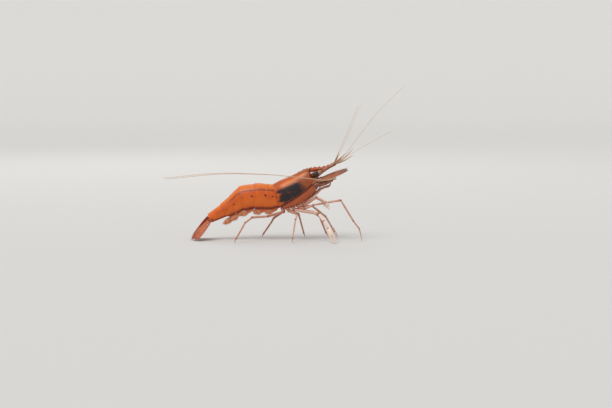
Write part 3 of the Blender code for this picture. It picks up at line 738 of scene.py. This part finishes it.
def make_head_body():
    """What lies under the carapace: the flanks, the rounded face behind the eyes and the underside."""
    form = Form()
    belly = HEAD_BELLY + 0.03
    left = [profile(a, *CARAPACE_SHAPE) for a in shares(16)[:15]] + [(belly - 0.02, 0.45), (belly, 0.2), (belly, 0)]
    rings = []
    for f in shares(45):
        t = -0.05 + 6.40 * f
        size = 0.945 * (1 - 0.60 * step(5.45, 6.35, t) ** 1.3)
        rings.append(flesh_ring(*carapace_lines(t), through(CARAPACE_WIDTHS, t), left, belly, 0.5, size))
    form.rings(rings)
    form.piece("head_body", FLESH, "shell")


def make_underside():
    """The breastplate between the legs, one step for each pair, and the mouth with its jaws."""
    form = Form()
    rings = []
    for f in shares(59):
        t = 0.02 + 5.0 * f
        back, edge = carapace_lines(t)
        pair_step = math.sin(2 * math.pi * t * LEG_PAIRS_BY_STEP)
        half_width = 1.15 * through(THORAX_WIDTHS, t) * (1 + 0.12 * pair_step)
        half_depth = 0.135 + 0.02 * pair_step
        rings.append([back.lerp(edge, 0.95 + half_depth * math.sin(angle)) + Y * (half_width * math.cos(angle))
                      for angle in (2 * math.pi * i / 20 for i in range(20))])
    form.rings(rings)
    for sign in SIDES.values():
        for (f, y, u), long, size in JAWS:
            path = [head(f + long * (g - 0.5), sign * y, u - 0.08 * math.sin(math.pi * g)) for g in shares(8)]
            form.tube(path, lambda g: size * (0.55 + 0.45 * math.sin(math.pi * (0.1 + 0.8 * g))), sides=14)
        for palp in PALPS:
            form.taper(head_route(palp, sign), 16, 0.2, 0.088, sides=10, flat=0.6)
    form.piece("underside", LIMB, "shell", "thorax_underside")


# ---------------------------------------------------------------- abdomen

def abdomen_lines(s):
    back, edge = through(BACK_LINE, s), through(PLATE_EDGE, s)
    return Vector((back.x, 0, back.y)), Vector((edge.x, 0, edge.y))


def abdomen_point(s, a, widen, hang):
    """A point of the abdomen's shell, s joints behind the neck."""
    shape = (ABDOMEN_ROOF, ABDOMEN_TUCK + 0.1 * min(max(s - 5, 0), 1))
    return shell_point(*abdomen_lines(s), through(ABDOMEN_WIDTHS, s), shape, a, widen, hang)


def flank_spot(s, flank, at_s, at_flank, radius):
    """1 inside a spot at at_s joints and a share of the flank, 0 outside it."""
    back, edge = abdomen_lines(at_s)
    joint = (through(BACK_LINE, at_s + 0.5) - through(BACK_LINE, at_s - 0.5)).length
    along, down = (s - at_s) * joint * 0.85, (flank - at_flank) * (edge - back).length * 1.15
    return step(1.5, 0.7, math.hypot(along, down) / radius)


def plate_relief(number, a, v):
    """How far a plate stands out: it rises to its rear rim, with a furrow across its roof."""
    flank = abs(a)
    rise = 0.07 * v**2 - 0.08 * (1 - v) ** 2 + 0.03 * bell(1 - v, 0.035)
    lower_rim, furrow = 0.035 * bell(1 - flank, 0.035), 0.05 * bell(v - 0.30, 0.03) * step(0.7, 0.4, flank)
    hump = 0.10 * bell(a, 0.2) * step(0.4, 0.9, v) if number == HUMPED_PLATE else 0
    return PLATES[number]["proud"] + rise + lower_rim - furrow + hump


def plate_marks(a, v, s):
    """Dark lines below the back and along the lower edge, spots, and paler bands on roof and flank."""
    flank = abs(a)
    back_line = 0.85 * bell(flank - 0.325, 0.022) * step(-0.3, 0.5, s) * step(5.0, 3.8, s)
    lower_line, rear_line = bell(flank - 0.935, 0.048), 0.16 * bell(1 - v, 0.02)
    return dict(
        line=min(1.0, back_line + lower_line + rear_line),
        spot=max(flank_spot(s, flank, *spot) for spot in FLANK_SPOTS),
        pale=0.75 * step(0.30, 0.20, flank) * step(0.02, 0.08, flank) + 0.35 * bell(flank - 0.7, 0.12),
        deep=0.35 * bell(a, 0.05) + 0.55 * step(0.86, 0.97, flank) + 0.25 * bell(1 - v, 0.08),
    )


def make_pleonite(number):
    """One plate of the abdomen, from its left lower edge over the back to its right."""
    plate = PLATES[number]

    def at(a, v):
        down = step(0.35, 0.8, abs(a))
        start, end = (back + (edge - back) * down for back, edge in zip(plate["back"], plate["edge"]))
        q = max(0.0, (abs(a) - 0.80) / 0.20)
        rounding = plate["corner"] * (1 - math.sqrt(max(0.0, 1 - q * q)))
        start, end = start + rounding, end - 0.9 * rounding
        s = start + (end - start) * v
        return abdomen_point(s, a, plate_relief(number, a, v), plate["lobe"]), plate_marks(a, v, s)

    form = Form()
    form.sheet(130, 44, at)
    form.piece(f"shell_ring_{number + 1}", SHELL, "shell", f"pleonite_{number + 1}", thickness=0.10)


def make_abdomen_body():
    """The flesh under the plates, with its ringed underside."""
    form = Form()
    rings = []
    for f in shares(109):
        s = -0.3 + 6.25 * f
        size = 0.93 - 0.625 * max(s - 5.75, 0)
        ripple = 0.012 * math.sin(2 * math.pi * s)
        left = [profile(a, ABDOMEN_ROOF, ABDOMEN_TUCK) for a in shares(14)[:11]]
        left += [(0.80, 0.55), (0.815 + ripple, 0.25), (0.82 + ripple, 0)]
        rings.append(flesh_ring(*abdomen_lines(s), through(ABDOMEN_WIDTHS, s), left, 0.84, 0.45, size))
    form.rings(rings)
    form.piece("abdomen_body", FLESH, "shell")


# ---------------------------------------------------------------- tail fan and swimmerets

def blade_form(form, axis, half_widths, across, rows=60, thin=0.045, rib=0.16, ribs=(0.0,), sag=0.0):
    """A flat blade closed all round: thick along its ribs, thin at its edges. Returns its margin for a fringe."""
    margin, rings, deeps, pales = [], [], [], []
    for f in shares(rows):
        centre = share(axis, f)
        along = (share(axis, min(f + 0.02, 1)) - share(axis, max(f - 0.02, 0))).normalized()
        wide = (across - along * across.dot(along)).normalized()
        up = along.cross(wide).normalized()
        w = share(half_widths, f)
        if f > BLADE_TIP:
            w *= 0.25 + 0.75 * math.sqrt(max(0.0, 1 - ((f - BLADE_TIP) / (1 - BLADE_TIP)) ** 2))
        w = max(w, 0.02)
        upper, lower, deep, pale = [], [], [], []
        for i, g in enumerate(shares(18)):
            x = -1 + 2 * g
            half = thin + 0.05 * (1 - x * x) * (1 - f * 0.5)
            half += sum(rib * (1 - 0.6 * f) * bell(x - r, RIB_WIDTH) for r in ribs)
            if i in (0, 18):
                half = thin * 0.35
            middle = centre + wide * (x * w) - up * (sag * x * x * w)
            upper.append(middle + up * half)
            lower.append(middle - up * (half * 0.7))
            deep.append(0.8 * step(0.72, 1.0, f) + 0.35 * bell(abs(x) - 1, 0.10) + 0.5 * step(0.12, 0.0, f))
            beside_rib = 0.3 * step(0.55, 0.1, abs(abs(x) - 0.5)) * step(0.75, 0.4, f)
            pale.append(0.6 * max(bell(x - r, 0.07) for r in ribs) + beside_rib)
        rings.append(upper + lower[::-1])
        deeps.append(deep + deep[::-1])
        pales.append(pale + pale[::-1])
        margin.append((f, centre - wide * w, centre + wide * w, along, wide))
    form.rings(rings, deep=deeps, pale=pales)
    return margin


def fringe(form, margin, sides, start, length, cell, spacing=FRINGE_SPACING, radius=FRINGE_RADIUS, sag=STRAIGHT):
    """Bristles along a blade's margin from the share start to its end, combed towards its tip. Patches for their
    UV map lie inside cell, (low u, low v, size), by place along and across the blade."""
    for side in sides:
        points = [(f, a if side < 0 else b, along, wide * side) for f, a, b, along, wide in margin if f >= start]
        run = 0.0
        for (f, root, along, out), (_, following, _, _) in zip(points, points[1:]):
            run += (following - root).length
            while run > spacing:
                run -= spacing
                turn = step(0.75, 1.0, f)
                lean = (along * (0.75 + 0.9 * turn) + out * (0.75 * (1 - 0.6 * turn))).normalized()
                wobble = 0.9 + 0.2 * math.sin(91.7 * f + 3 * side)
                grow = step(start, start + 0.15, f) * 0.6 + 0.4
                patch = (cell[0] + cell[2] * (0.05 + 0.9 * f), cell[1] + cell[2] * (0.5 + 0.42 * side))
                tip = root + lean * (length * wobble * grow)
                form.hair(root - out * 0.03, tip, radius, sag + along * 0.1, patch)


def tilted(sign, low, tilt):
    """The direction across a blade that is rolled downward by tilt."""
    return (Y * sign * math.cos(tilt) + low * math.sin(tilt)).normalized()


def make_telson():
    """The middle blade of the tail fan, arched, with two pairs of spines above and two at its tip."""
    form, bristles = Form(), Form()
    axis = fan_route(TELSON)
    margin = blade_form(form, axis, TELSON_SIZES, Y, thin=0.20, rib=0.08, ribs=(-0.55, 0.55), sag=0.50)
    for f in (0.62, 0.82):
        for side in (-1, 1):
            root = share(axis, f) + Y * (side * share(TELSON_SIZES, f) * 0.62)
            form.hair(root, root + way(fan, 0.42, side * 0.05, 0.22), 0.05)
    for out, long in TELSON_SPINES:
        for side in (1, -1):
            root = share(axis, 0.985) + Y * (side * out)
            form.hair(root, root + way(fan, long, side * 0.12, 0), 0.035)
    form.piece("telson_blade", TAIL, "tail_fan", "telson")
    fringe(bristles, margin, (-1, 1), 0.90, 0.55, (0.02, 0.02, 0.2), spacing=0.07)
    bristles.piece("telson_bristles", BRISTLE, "tail_fan")


def make_uropods(side):
    """The two side blades of the tail fan. The outer one carries the stem, and a tooth where its fringe starts."""
    sign = SIDES[side]
    low = way(fan, 0, 0, -1)
    inner, outer, bristles = Form(), Form(), Form()
    margin = blade_form(inner, fan_route(INNER_BLADE, sign), INNER_SIZES, tilted(sign, low, INNER_TILT), rib=0.15)
    fringe(bristles, margin, (-1, 1), 0.30, 0.75, (0.25, 0.02, 0.3))
    inner.piece(f"tail_inner_blade_{side}", TAIL, "tail_fan", f"uropod_inner_{side}")

    across = tilted(sign, low, OUTER_TILT)
    axis = fan_route(OUTER_BLADE, sign)
    margin = blade_form(outer, axis, OUTER_SIZES, across, rib=0.15, ribs=(-0.1, 0.82))
    root = share(axis, 0.80) + across * (share(OUTER_SIZES, 0.80) * 0.93)
    outer.hair(root - way(fan, 0.2, 0, 0), root + way(fan, 0.35, sign * 0.05, 0), 0.08)
    outer.taper(fan_route(UROPOD_STEM, sign), 8, 0.42, 0.388, sides=14, deep=0.5)
    fringe(bristles, margin, (-1,), 0.30, 0.80, (0.6, 0.02, 0.3))
    fringe(bristles, margin, (1,), 0.82, 0.80, (0.6, 0.35, 0.3))
    outer.piece(f"tail_outer_blade_{side}", TAIL, "tail_fan", f"uropod_outer_{side}")
    bristles.piece(f"tail_bristles_{side}", BRISTLE, "tail_fan")


def make_pleopod(number, side):
    """One swimmeret: a stout stalk and two leaves, each with a fringe."""
    sign = SIDES[side]
    back, edge = abdomen_lines(number + 0.5)
    down = (edge - back).normalized()
    behind = (abdomen_lines(number + 1)[1] - abdomen_lines(number)[1]).normalized()
    root = back.lerp(edge + down * PLATES[number]["lobe"], 0.86) + Y * (sign * PLEOPOD_SIDE)
    path = [root + down * below + behind * aft for below, aft in PLEOPOD]
    size = PLEOPOD_WIDTHS[number]
    form, bristles = Form(), Form()
    form.tube(smooth_route(path[:3], 10), lambda f: (size * (0.50 - 0.15 * f), size * (1.05 - 0.3 * f)), sides=18,
              deep=lambda f: 0.5 * bell(1 - f, 0.12))
    across = tilted(sign, -down, PLEOPOD_TURN)
    for leaf, (shift, wide, long, inward) in enumerate(PLEOPOD_LEAVES):
        start = path[1].lerp(path[2], 0.45) + across * shift * size
        end = path[4] + (path[4] - path[2]) * (long - 1) + across * (shift * 1.6 * size) - Y * (sign * inward)
        middle = start.lerp(end, 0.5) + down * 0.22 + across * (shift * 0.5)
        axis = [start, start.lerp(middle, 0.5) + down * 0.06, middle, middle.lerp(end, 0.55), end]
        widths = [0.18 * size, 0.75 * wide * size, 0.95 * wide * size, 0.62 * wide * size, 0.10]
        margin = blade_form(form, axis, widths, across, rows=26, thin=0.03, rib=0.10)
        cell = (0.02 + 0.19 * number, 0.05 + 0.45 * leaf, 0.17)
        fringe(bristles, margin, (-1, 1), 0.25, 0.55, cell, spacing=0.10, radius=0.012, sag=down * 0.05)
    form.piece(f"swimmeret_{number + 1}_{side}", LIGHTENED_LEAF, "swimmeret", f"pleopod_{number + 1}_{side}")
    bristles.piece(f"swimmeret_bristles_{number + 1}_{side}", BRISTLE, "swimmeret")


# ---------------------------------------------------------------- legs

def limb_segment(form, start, end, r0, r1, across, tones):
    """One length of a limb: narrow where it leaves the joint, widest near its far end, darker at both."""
    def size(f):
        swell = 0.76 + 0.26 * step(0.0, 0.3, f) + 0.10 * bell(1 - f, 0.10) - 0.05 * bell(f - 0.7, 0.2)
        r = (r0 + (r1 - r0) * f) * swell
        return r * LIMB_FLATNESS, r

    form.tube(straight_route(start, end, 20), size, across=across, sides=18, pale=tones[0], deep=tones[1],
              joint=lambda f: max(0.8 * bell(f, 0.04), bell(1 - f, 0.05)))


def pointed_end(form, start, end, radius, across, tones):
    """The pointed last length of a walking leg, slightly curved, its tip on the floor."""
    tip = end + Z * 0.03  # its own thickness above the floor
    bow = (start - end).cross(across).normalized() * 0.10
    form.tube(smooth_route([start, start.lerp(tip, 0.5) + bow, tip], 16),
              lambda f: radius * (0.8 + 0.2 * step(0, 0.1875, f)) * (1 - 0.86 * f**1.15), across=across, sides=14,
              pale=tones[0], deep=lambda f: tones[1] + 0.6 * f)


def add_claw(form, wrist, tip, thin, palm, across, pale):
    """A palm that swells from the wrist, two bowed fingers with a gap between them, and hairs around them."""
    if tip.z < 0.1:  # a claw that stands on the floor needs room for its fingers
        tip = tip + Z * (0.04 + 0.35 * palm)
    along = (tip - wrist).normalized()
    length = (tip - wrist).length
    spread = along.cross(Y if abs(along.y) < 0.8 else Z).normalized()
    thick = along.cross(spread)
    end = wrist + along * (length * PALM_LENGTH)

    def palm_size(f):
        width = thin * 0.75 + (palm - thin * 0.75) * step(0.0, 0.55, f) - 0.08 * palm * step(0.7, 1, f)
        return width, thin * 0.7 + (palm * PALM_THICKNESS - thin * 0.7) * step(0.0, 0.6, f)

    form.tube(straight_route(wrist, end, 18), palm_size, across=spread, sides=20, pale=pale,
              joint=lambda f: bell(f, 0.06))
    for sign, width in FINGER_WIDTHS.items():
        start = end - along * (0.05 * length) + spread * (sign * palm * 0.52)
        point = tip + spread * (sign * 0.05 * palm)
        route = [start, start.lerp(point, 0.45) + spread * (sign * palm * FINGER_BOW), point]
        form.tube(smooth_route(route, 16), lambda f: palm * width * (1 - 0.80 * f**1.5), across=across, pale=pale)
    for k in range(CLAW_HAIRS):
        place = wrist.lerp(tip, 0.40 + 0.022 * k)
        out = spread * math.cos(HAIR_TURN * k) + thick * math.sin(HAIR_TURN * k)
        form.hair(place + out * (palm * 0.55), place + out * (palm + 0.16) + along * 0.28, HAIR_RADIUS, segments=3)


def add_leg_bristles(form, joints, radii, seed):
    """Short scattered bristles that point down the limb, thickest near its end, none at the floor."""
    k = 0
    for i in range(2, len(joints) - 1):
        start, end = joints[i], joints[i + 1]
        along = (end - start).normalized()
        side = along.orthogonal().normalized()
        for _ in range(int((end - start).length * (2.2 + 0.8 * i))):
            k += 1
            f = ((k * 0.618 + seed * 0.37) % 1.0) * 0.9 + 0.05
            angle = 2.399 * k + seed
            out = side * math.cos(angle) + along.cross(side) * math.sin(angle)
            r = radii[i] + (radii[i + 1] - radii[i]) * f
            root = start.lerp(end, f) + out * (r * 0.75)
            if root.z >= 0.4:
                form.hair(root, root + out * 0.22 + along * 0.20, 0.011, segments=3)


def make_leg(name):
    """A leg from its root in the breastplate to its claw or point. Its first length is the short coxa."""
    _, pair, side = name.split("_")
    sign = SIDES[side]
    forward, up = LEG_ROOTS[int(pair) - 1]
    coxa = [head(forward, sign * LEG_SIDE, up + 0.25), head(forward, sign * (LEG_SIDE + 0.2), up - COXA_LENGTH)]
    joints = coxa + [Vector(p) for p in LEGS[name]]
    stout = WHITE_LEG_STOUTNESS if name == WHITE_LEG else 1.0
    radii = [COXA_RADIUS, BASIS_RADIUS] + [share(LIMB_RADII, f) * stout for f in shares(len(LEGS[name]))[1:]]
    pale, deep = LEG_PALENESS.get(name, 0.1), LEG_DEPTH.get(name, 0.0)
    tones = [(0, 0.6), (pale * 0.5, deep + 0.2)] + [(pale, deep)] * (len(joints) - 4)
    form = Form()
    across = (joints[2] - joints[1]).cross(Z).normalized()
    for i, tone in enumerate(tones):
        limb_segment(form, joints[i], joints[i + 1], radii[i], radii[i + 1], across, tone)
    if name in CLAW_PALMS:
        claw_pale = max(pale, 0.75 if pair == "1" else 0.3)
        add_claw(form, joints[-2], joints[-1], radii[-2], CLAW_PALMS[name], across, claw_pale)
    else:
        pointed_end(form, joints[-2], joints[-1], radii[-2] * 0.85, across, (pale, deep))
    add_leg_bristles(form, joints, radii, 7 * int(pair) + sign)
    form.piece(f"{name}_shell", LIMB, "limb", name)


# ---------------------------------------------------------------- eyes, feelers and mouthparts

def jointed(form, route, radii, cuts, flats, count, sides, swell, **marks):
    """The lengths of a limb along a route, cut at shares of it. flats holds the thickness of each length for its
    width. swell, for each radius, and the marks are functions of the share of a length."""
    for low, high, flat in zip(cuts, cuts[1:], flats):
        places = [low + (high - low) * f for f in shares(count)]
        form.tube([share(route, g) for g in places],
                  lambda f, low=low, high=high: share(radii, low + (high - low) * f) * swell(f),
                  flat=flat, sides=sides, **marks)


def make_eye(side):
    """The cornea, a ball cut off where it meets its stalk, and the stalk that widens towards it."""
    form, stalk = Form(), Form()
    eye, root = head_route([EYE_CENTRE, STALK_ROOT], SIDES[side])
    axis = (eye - root).normalized()
    path = straight_route(eye + axis * (EYE_RADIUS * EYE_START), eye + axis * EYE_RADIUS, 26)
    # The pale mark rings the cornea where it leaves the stalk: a painted reflection.
    form.tube(path, lambda f: EYE_RADIUS * math.sqrt(max(0.0004, 1 - (EYE_START + (1 - EYE_START) * f) ** 2)),
              across=Z, sides=40, rounded=(-1,), pale=lambda f: 0.7 * bell(f, 0.0846))
    form.piece(f"cornea_{side}", EYE, "eye", f"eye_{side}")
    stalk.tube(straight_route(root, eye - axis * (EYE_RADIUS * 0.42), 16),
               lambda f: 0.40 + 0.30 * step(0.25, 1.0, f) + 0.03 * math.sin(16 * f), across=Z, sides=28,
               line=lambda f: 0.9 * step(0.72, 1.0, f))
    stalk.piece(f"eye_stalk_{side}", FEELER, "feeler", f"eyestalk_{side}")


def make_antennule(side):
    """Three lengths: a long flat one with a spine at its side, then two short ones, hairy towards the end."""
    form = Form()
    sign = SIDES[side]
    route = head_route(ANTENNULE_BASE, sign)
    jointed(form, route, ANTENNULE_RADII, ANTENNULE_CUTS, ANTENNULE_FLATS, 22, 22,
            lambda f: 1.05 * (0.88 + 0.16 * step(0.0, 0.25, f) + 0.05 * bell(1 - f, 0.12)),
            line=lambda f: 0.55 * bell(1 - f, 0.05), pale=lambda f: 0.35 * bell(f - 0.5, 0.3))
    form.taper(head_route(ANTENNULE_SPINE, sign), 10, 0.20, 0.03, sides=10)
    for k in range(40):
        c, s = sign * math.cos(2.1 * k), math.sin(2.1 * k)
        root = share(route, 0.45 + 0.54 * k / 40) + Y * (0.36 * c) + Z * (0.30 * s)
        form.hair(root, root + way(head, 0.45, 0.12 * c, 0.10 * s), HAIR_RADIUS)
    form.piece(f"antennule_base_{side}", FEELER, "feeler", f"antennule_{side}")


def make_antenna(side):
    """The stout base of a long antenna, in three lengths, with a spine at the root of its scale."""
    form = Form()
    sign = SIDES[side]
    jointed(form, head_route(ANTENNA_BASE, sign), ANTENNA_RADII, ANTENNA_CUTS, ANTENNA_FLATS, 18, 22,
            lambda f: 0.95 * (0.90 + 0.13 * step(0, 0.3, f) + 0.05 * bell(1 - f, 0.12)),
            line=lambda f: 0.5 * bell(1 - f, 0.05))
    form.taper(head_route(ANTENNA_BLOCK, sign), 10, 0.70, 0.48, sides=22, flat=0.85)
    form.taper(head_route(ANTENNA_SPINE, sign), 8, 0.17, 0.034, sides=10)
    form.piece(f"antenna_root_{side}", FEELER, "feeler", f"antenna_base_{side}")


def make_maxilliped(side):
    """A leg-like mouthpart in three lengths, bristly towards its end."""
    form = Form()
    sign = SIDES[side]
    route = head_route(MAXILLIPED, sign)
    jointed(form, route, MAXILLIPED_RADII, MAXILLIPED_CUTS, MAXILLIPED_FLATS, 16, 16,
            lambda f: 0.92 + 0.12 * bell(1 - f, 0.15), joint=lambda f: 0.7 * bell(1 - f, 0.05))
    for k in range(90):
        centre = share(route, 0.45 + 0.53 * k / 90)
        angle = HAIR_TURN * k
        out = Y * (sign * 0.30 * math.cos(angle)) + Z * (0.30 * math.sin(angle))
        tip = centre + out * 1.5 + way(head, 0.35, 0, 0.05)
        form.hair(centre + out * 0.6, tip, HAIR_RADIUS, segments=3)
    form.piece(f"jaw_foot_{side}", LIMB, "limb", f"maxilliped_{side}")


def make_whip(name, node, path, radius, ring, across=Y):
    """A feeler. Its marks count its rings, one for each length ring, and tell how near its tip a place is."""
    form = Form()
    rings = sum((b - a).length for a, b in zip(path, path[1:])) / ring
    form.tube(path, radius, across=across, sides=10, ring=lambda f: f * rings, tip=lambda f: f)
    form.piece(name, WHIP, "feeler", node)


def make_antennule_whip(name):
    """One of an antennule's three feelers: short and thick, or long with a thick first part."""
    kind, side = name.split("_")
    (out, up), (first, past) = WHIP_KINDS[kind]
    short = kind == "short"
    f, y, u = ANTENNULE_BASE[-1]
    root = head(f - 0.15, SIDES[side] * (y + out), u + up)
    path = smooth_route([root] + [Vector(p) for p in ANTENNULE_WHIPS[name]], 60 if short else 150)

    def radius(f):
        thick = 1 - f**2 if short else step(0.34, 0.04, f)
        return past * (1 - 0.4 * f) + (first - past) * thick

    make_whip(f"whip_{name}", f"antennule_whip_{name}", path, radius, WHIP_RING)


def make_antenna_whip(side):
    """The long feeler: it bends back beside the head and runs along the back."""
    sign = SIDES[side]
    drop = WHIP_DROP if side == "left" else 0
    route = head_route(WHIP_BEND, sign) + [Vector((x, -sign * y, z - drop)) for x, y, z in WHIP_ROUTE]
    make_whip(f"long_whip_{side}", f"antenna_whip_{side}", smooth_route(route, 320),
              lambda f: 0.06 + 0.17 * (1 - f) ** 1.4, LONG_WHIP_RING, across=Z)


def make_scale(side):
    """The flat scale beside an antenna: straight outer edge with a tooth, rounded fringed tip and inner edge."""
    sign = SIDES[side]
    forward, up = SCALE_ROOT
    axis = [head(forward - SCALE_BURIED + (SCALE_LENGTH + SCALE_BURIED) * f, sign * (SCALE_OUTER_EDGE - half_width),
                 up - SCALE_DROP * f)
            for f, half_width in zip(shares(len(SCALE_HALF_WIDTHS) - 1), SCALE_HALF_WIDTHS)]
    form, bristles = Form(), Form()
    across = tilted(sign, way(head, 0, 0, -1), SCALE_ROLL)
    margin = blade_form(form, axis, SCALE_HALF_WIDTHS, across, thin=0.05, rib=0.13, ribs=(0.1, 0.86))
    edge = [share(axis, f) + across * (share(SCALE_HALF_WIDTHS, min(f, 0.86)) * 0.93) for f in SCALE_TOOTH]
    form.taper(edge, 8, 0.13, 0.0156, sides=10, flat=0.7)
    fringe(bristles, margin, (-1,), 0.20, 0.85, (0.02, 0.02, 0.45), spacing=0.075)
    fringe(bristles, margin, (1,), 0.86, 0.85, (0.5, 0.02, 0.45), spacing=0.075)
    form.piece(f"scale_{side}", SCALE, "feeler", f"antenna_scale_{side}")
    bristles.piece(f"scale_bristles_{side}", BRISTLE, "feeler")


# ---------------------------------------------------------------- the prawn

make_carapace()
make_rostrum()
make_head_body()
make_underside()
make_abdomen_body()
for number in range(len(PLATES)):
    make_pleonite(number)
make_telson()
for side in SIDES:
    make_uropods(side)
    make_eye(side)
    make_antennule(side)
    make_antenna(side)
    make_scale(side)
    make_maxilliped(side)
    make_antenna_whip(side)
    for number in range(len(PLEOPOD_WIDTHS)):
        make_pleopod(number, side)
for name in ANTENNULE_WHIPS:
    make_antennule_whip(name)
for name in LEGS:
    make_leg(name)


# ---------------------------------------------------------------- floor, light and camera, in metres

def put_in_scene(name, data, place=(0, 0, 0), direction=None):
    """A new object at a place. A light or camera looks along direction."""
    obj = bpy.data.objects.new(name, data)
    obj.location = place
    if direction is not None:
        obj.rotation_euler = direction.to_track_quat("-Z", "Y").to_euler()
    bpy.context.scene.collection.objects.link(obj)
    return obj


def make_stage():
    """One pale sheet: a flat floor that curves up far behind the prawn."""
    half_width, front, bend, radius, top = 2.5, -1.6, 0.9, 0.6, 1.6
    line = [(front, 0.0), (bend, 0.0)]
    line += [(bend + radius * math.sin(t), radius - radius * math.cos(t))
             for t in (math.pi / 2 * f for f in shares(16)[1:])]
    line.append((bend + radius, top))
    mesh = bpy.data.meshes.new("stage")
    mesh.from_pydata([(x, y, z) for y, z in line for x in (-half_width, half_width)], [],
                     [(2 * k, 2 * k + 1, 2 * k + 3, 2 * k + 2) for k in range(len(line) - 1)])
    mesh.shade_smooth()
    paint = Shader("stage", 1.0, Specular_IOR_Level=0.0, Base_Color=(0.66, 0.65, 0.63, 1))
    mesh.materials.append(paint.material)
    put_in_scene("stage", mesh)


def make_light():
    """An even pale sky, a soft warm sun from above the camera, and a warm disc behind the prawn."""
    world = bpy.data.worlds.new("studio")
    world.use_nodes = True
    sky = world.node_tree.nodes["Background"]
    sky.inputs["Color"].default_value = (0.90, 0.92, 0.96, 1)
    sky.inputs["Strength"].default_value = 0.70
    bpy.context.scene.world = world
    sun = bpy.data.lights.new("sun", "SUN")
    sun.energy, sun.angle, sun.color = 1.5, math.radians(40), (1.0, 0.97, 0.93)
    put_in_scene("sun", sun, direction=Vector((0.35, 0.55, -0.95)))
    back = bpy.data.lights.new("back", "AREA")
    back.shape, back.size, back.energy, back.color = "DISK", 0.30, 0.22, (1.0, 0.95, 0.88)
    place, target = Vector((-0.10, 0.38, 0.30)), Vector((0, 0, 0.01))
    put_in_scene("back", back, place, target - place)
    bpy.context.scene.view_settings.view_transform = "Standard"


def make_camera():
    """Looks along +Y, a little down, at the point that the middle of the photograph's frame shows."""
    camera = bpy.data.cameras.new("camera")
    camera.lens = 82.6
    camera.clip_start, camera.clip_end = 0.01, 20
    target = Vector((8.55, 0, 10.26)) * MM + SHIFT
    elevation, distance = math.radians(5), 0.400
    place = target + Vector((0, -math.cos(elevation), math.sin(elevation))) * distance
    bpy.context.scene.camera = put_in_scene("camera", camera, place, target - place)


make_stage()
make_light()
make_camera()
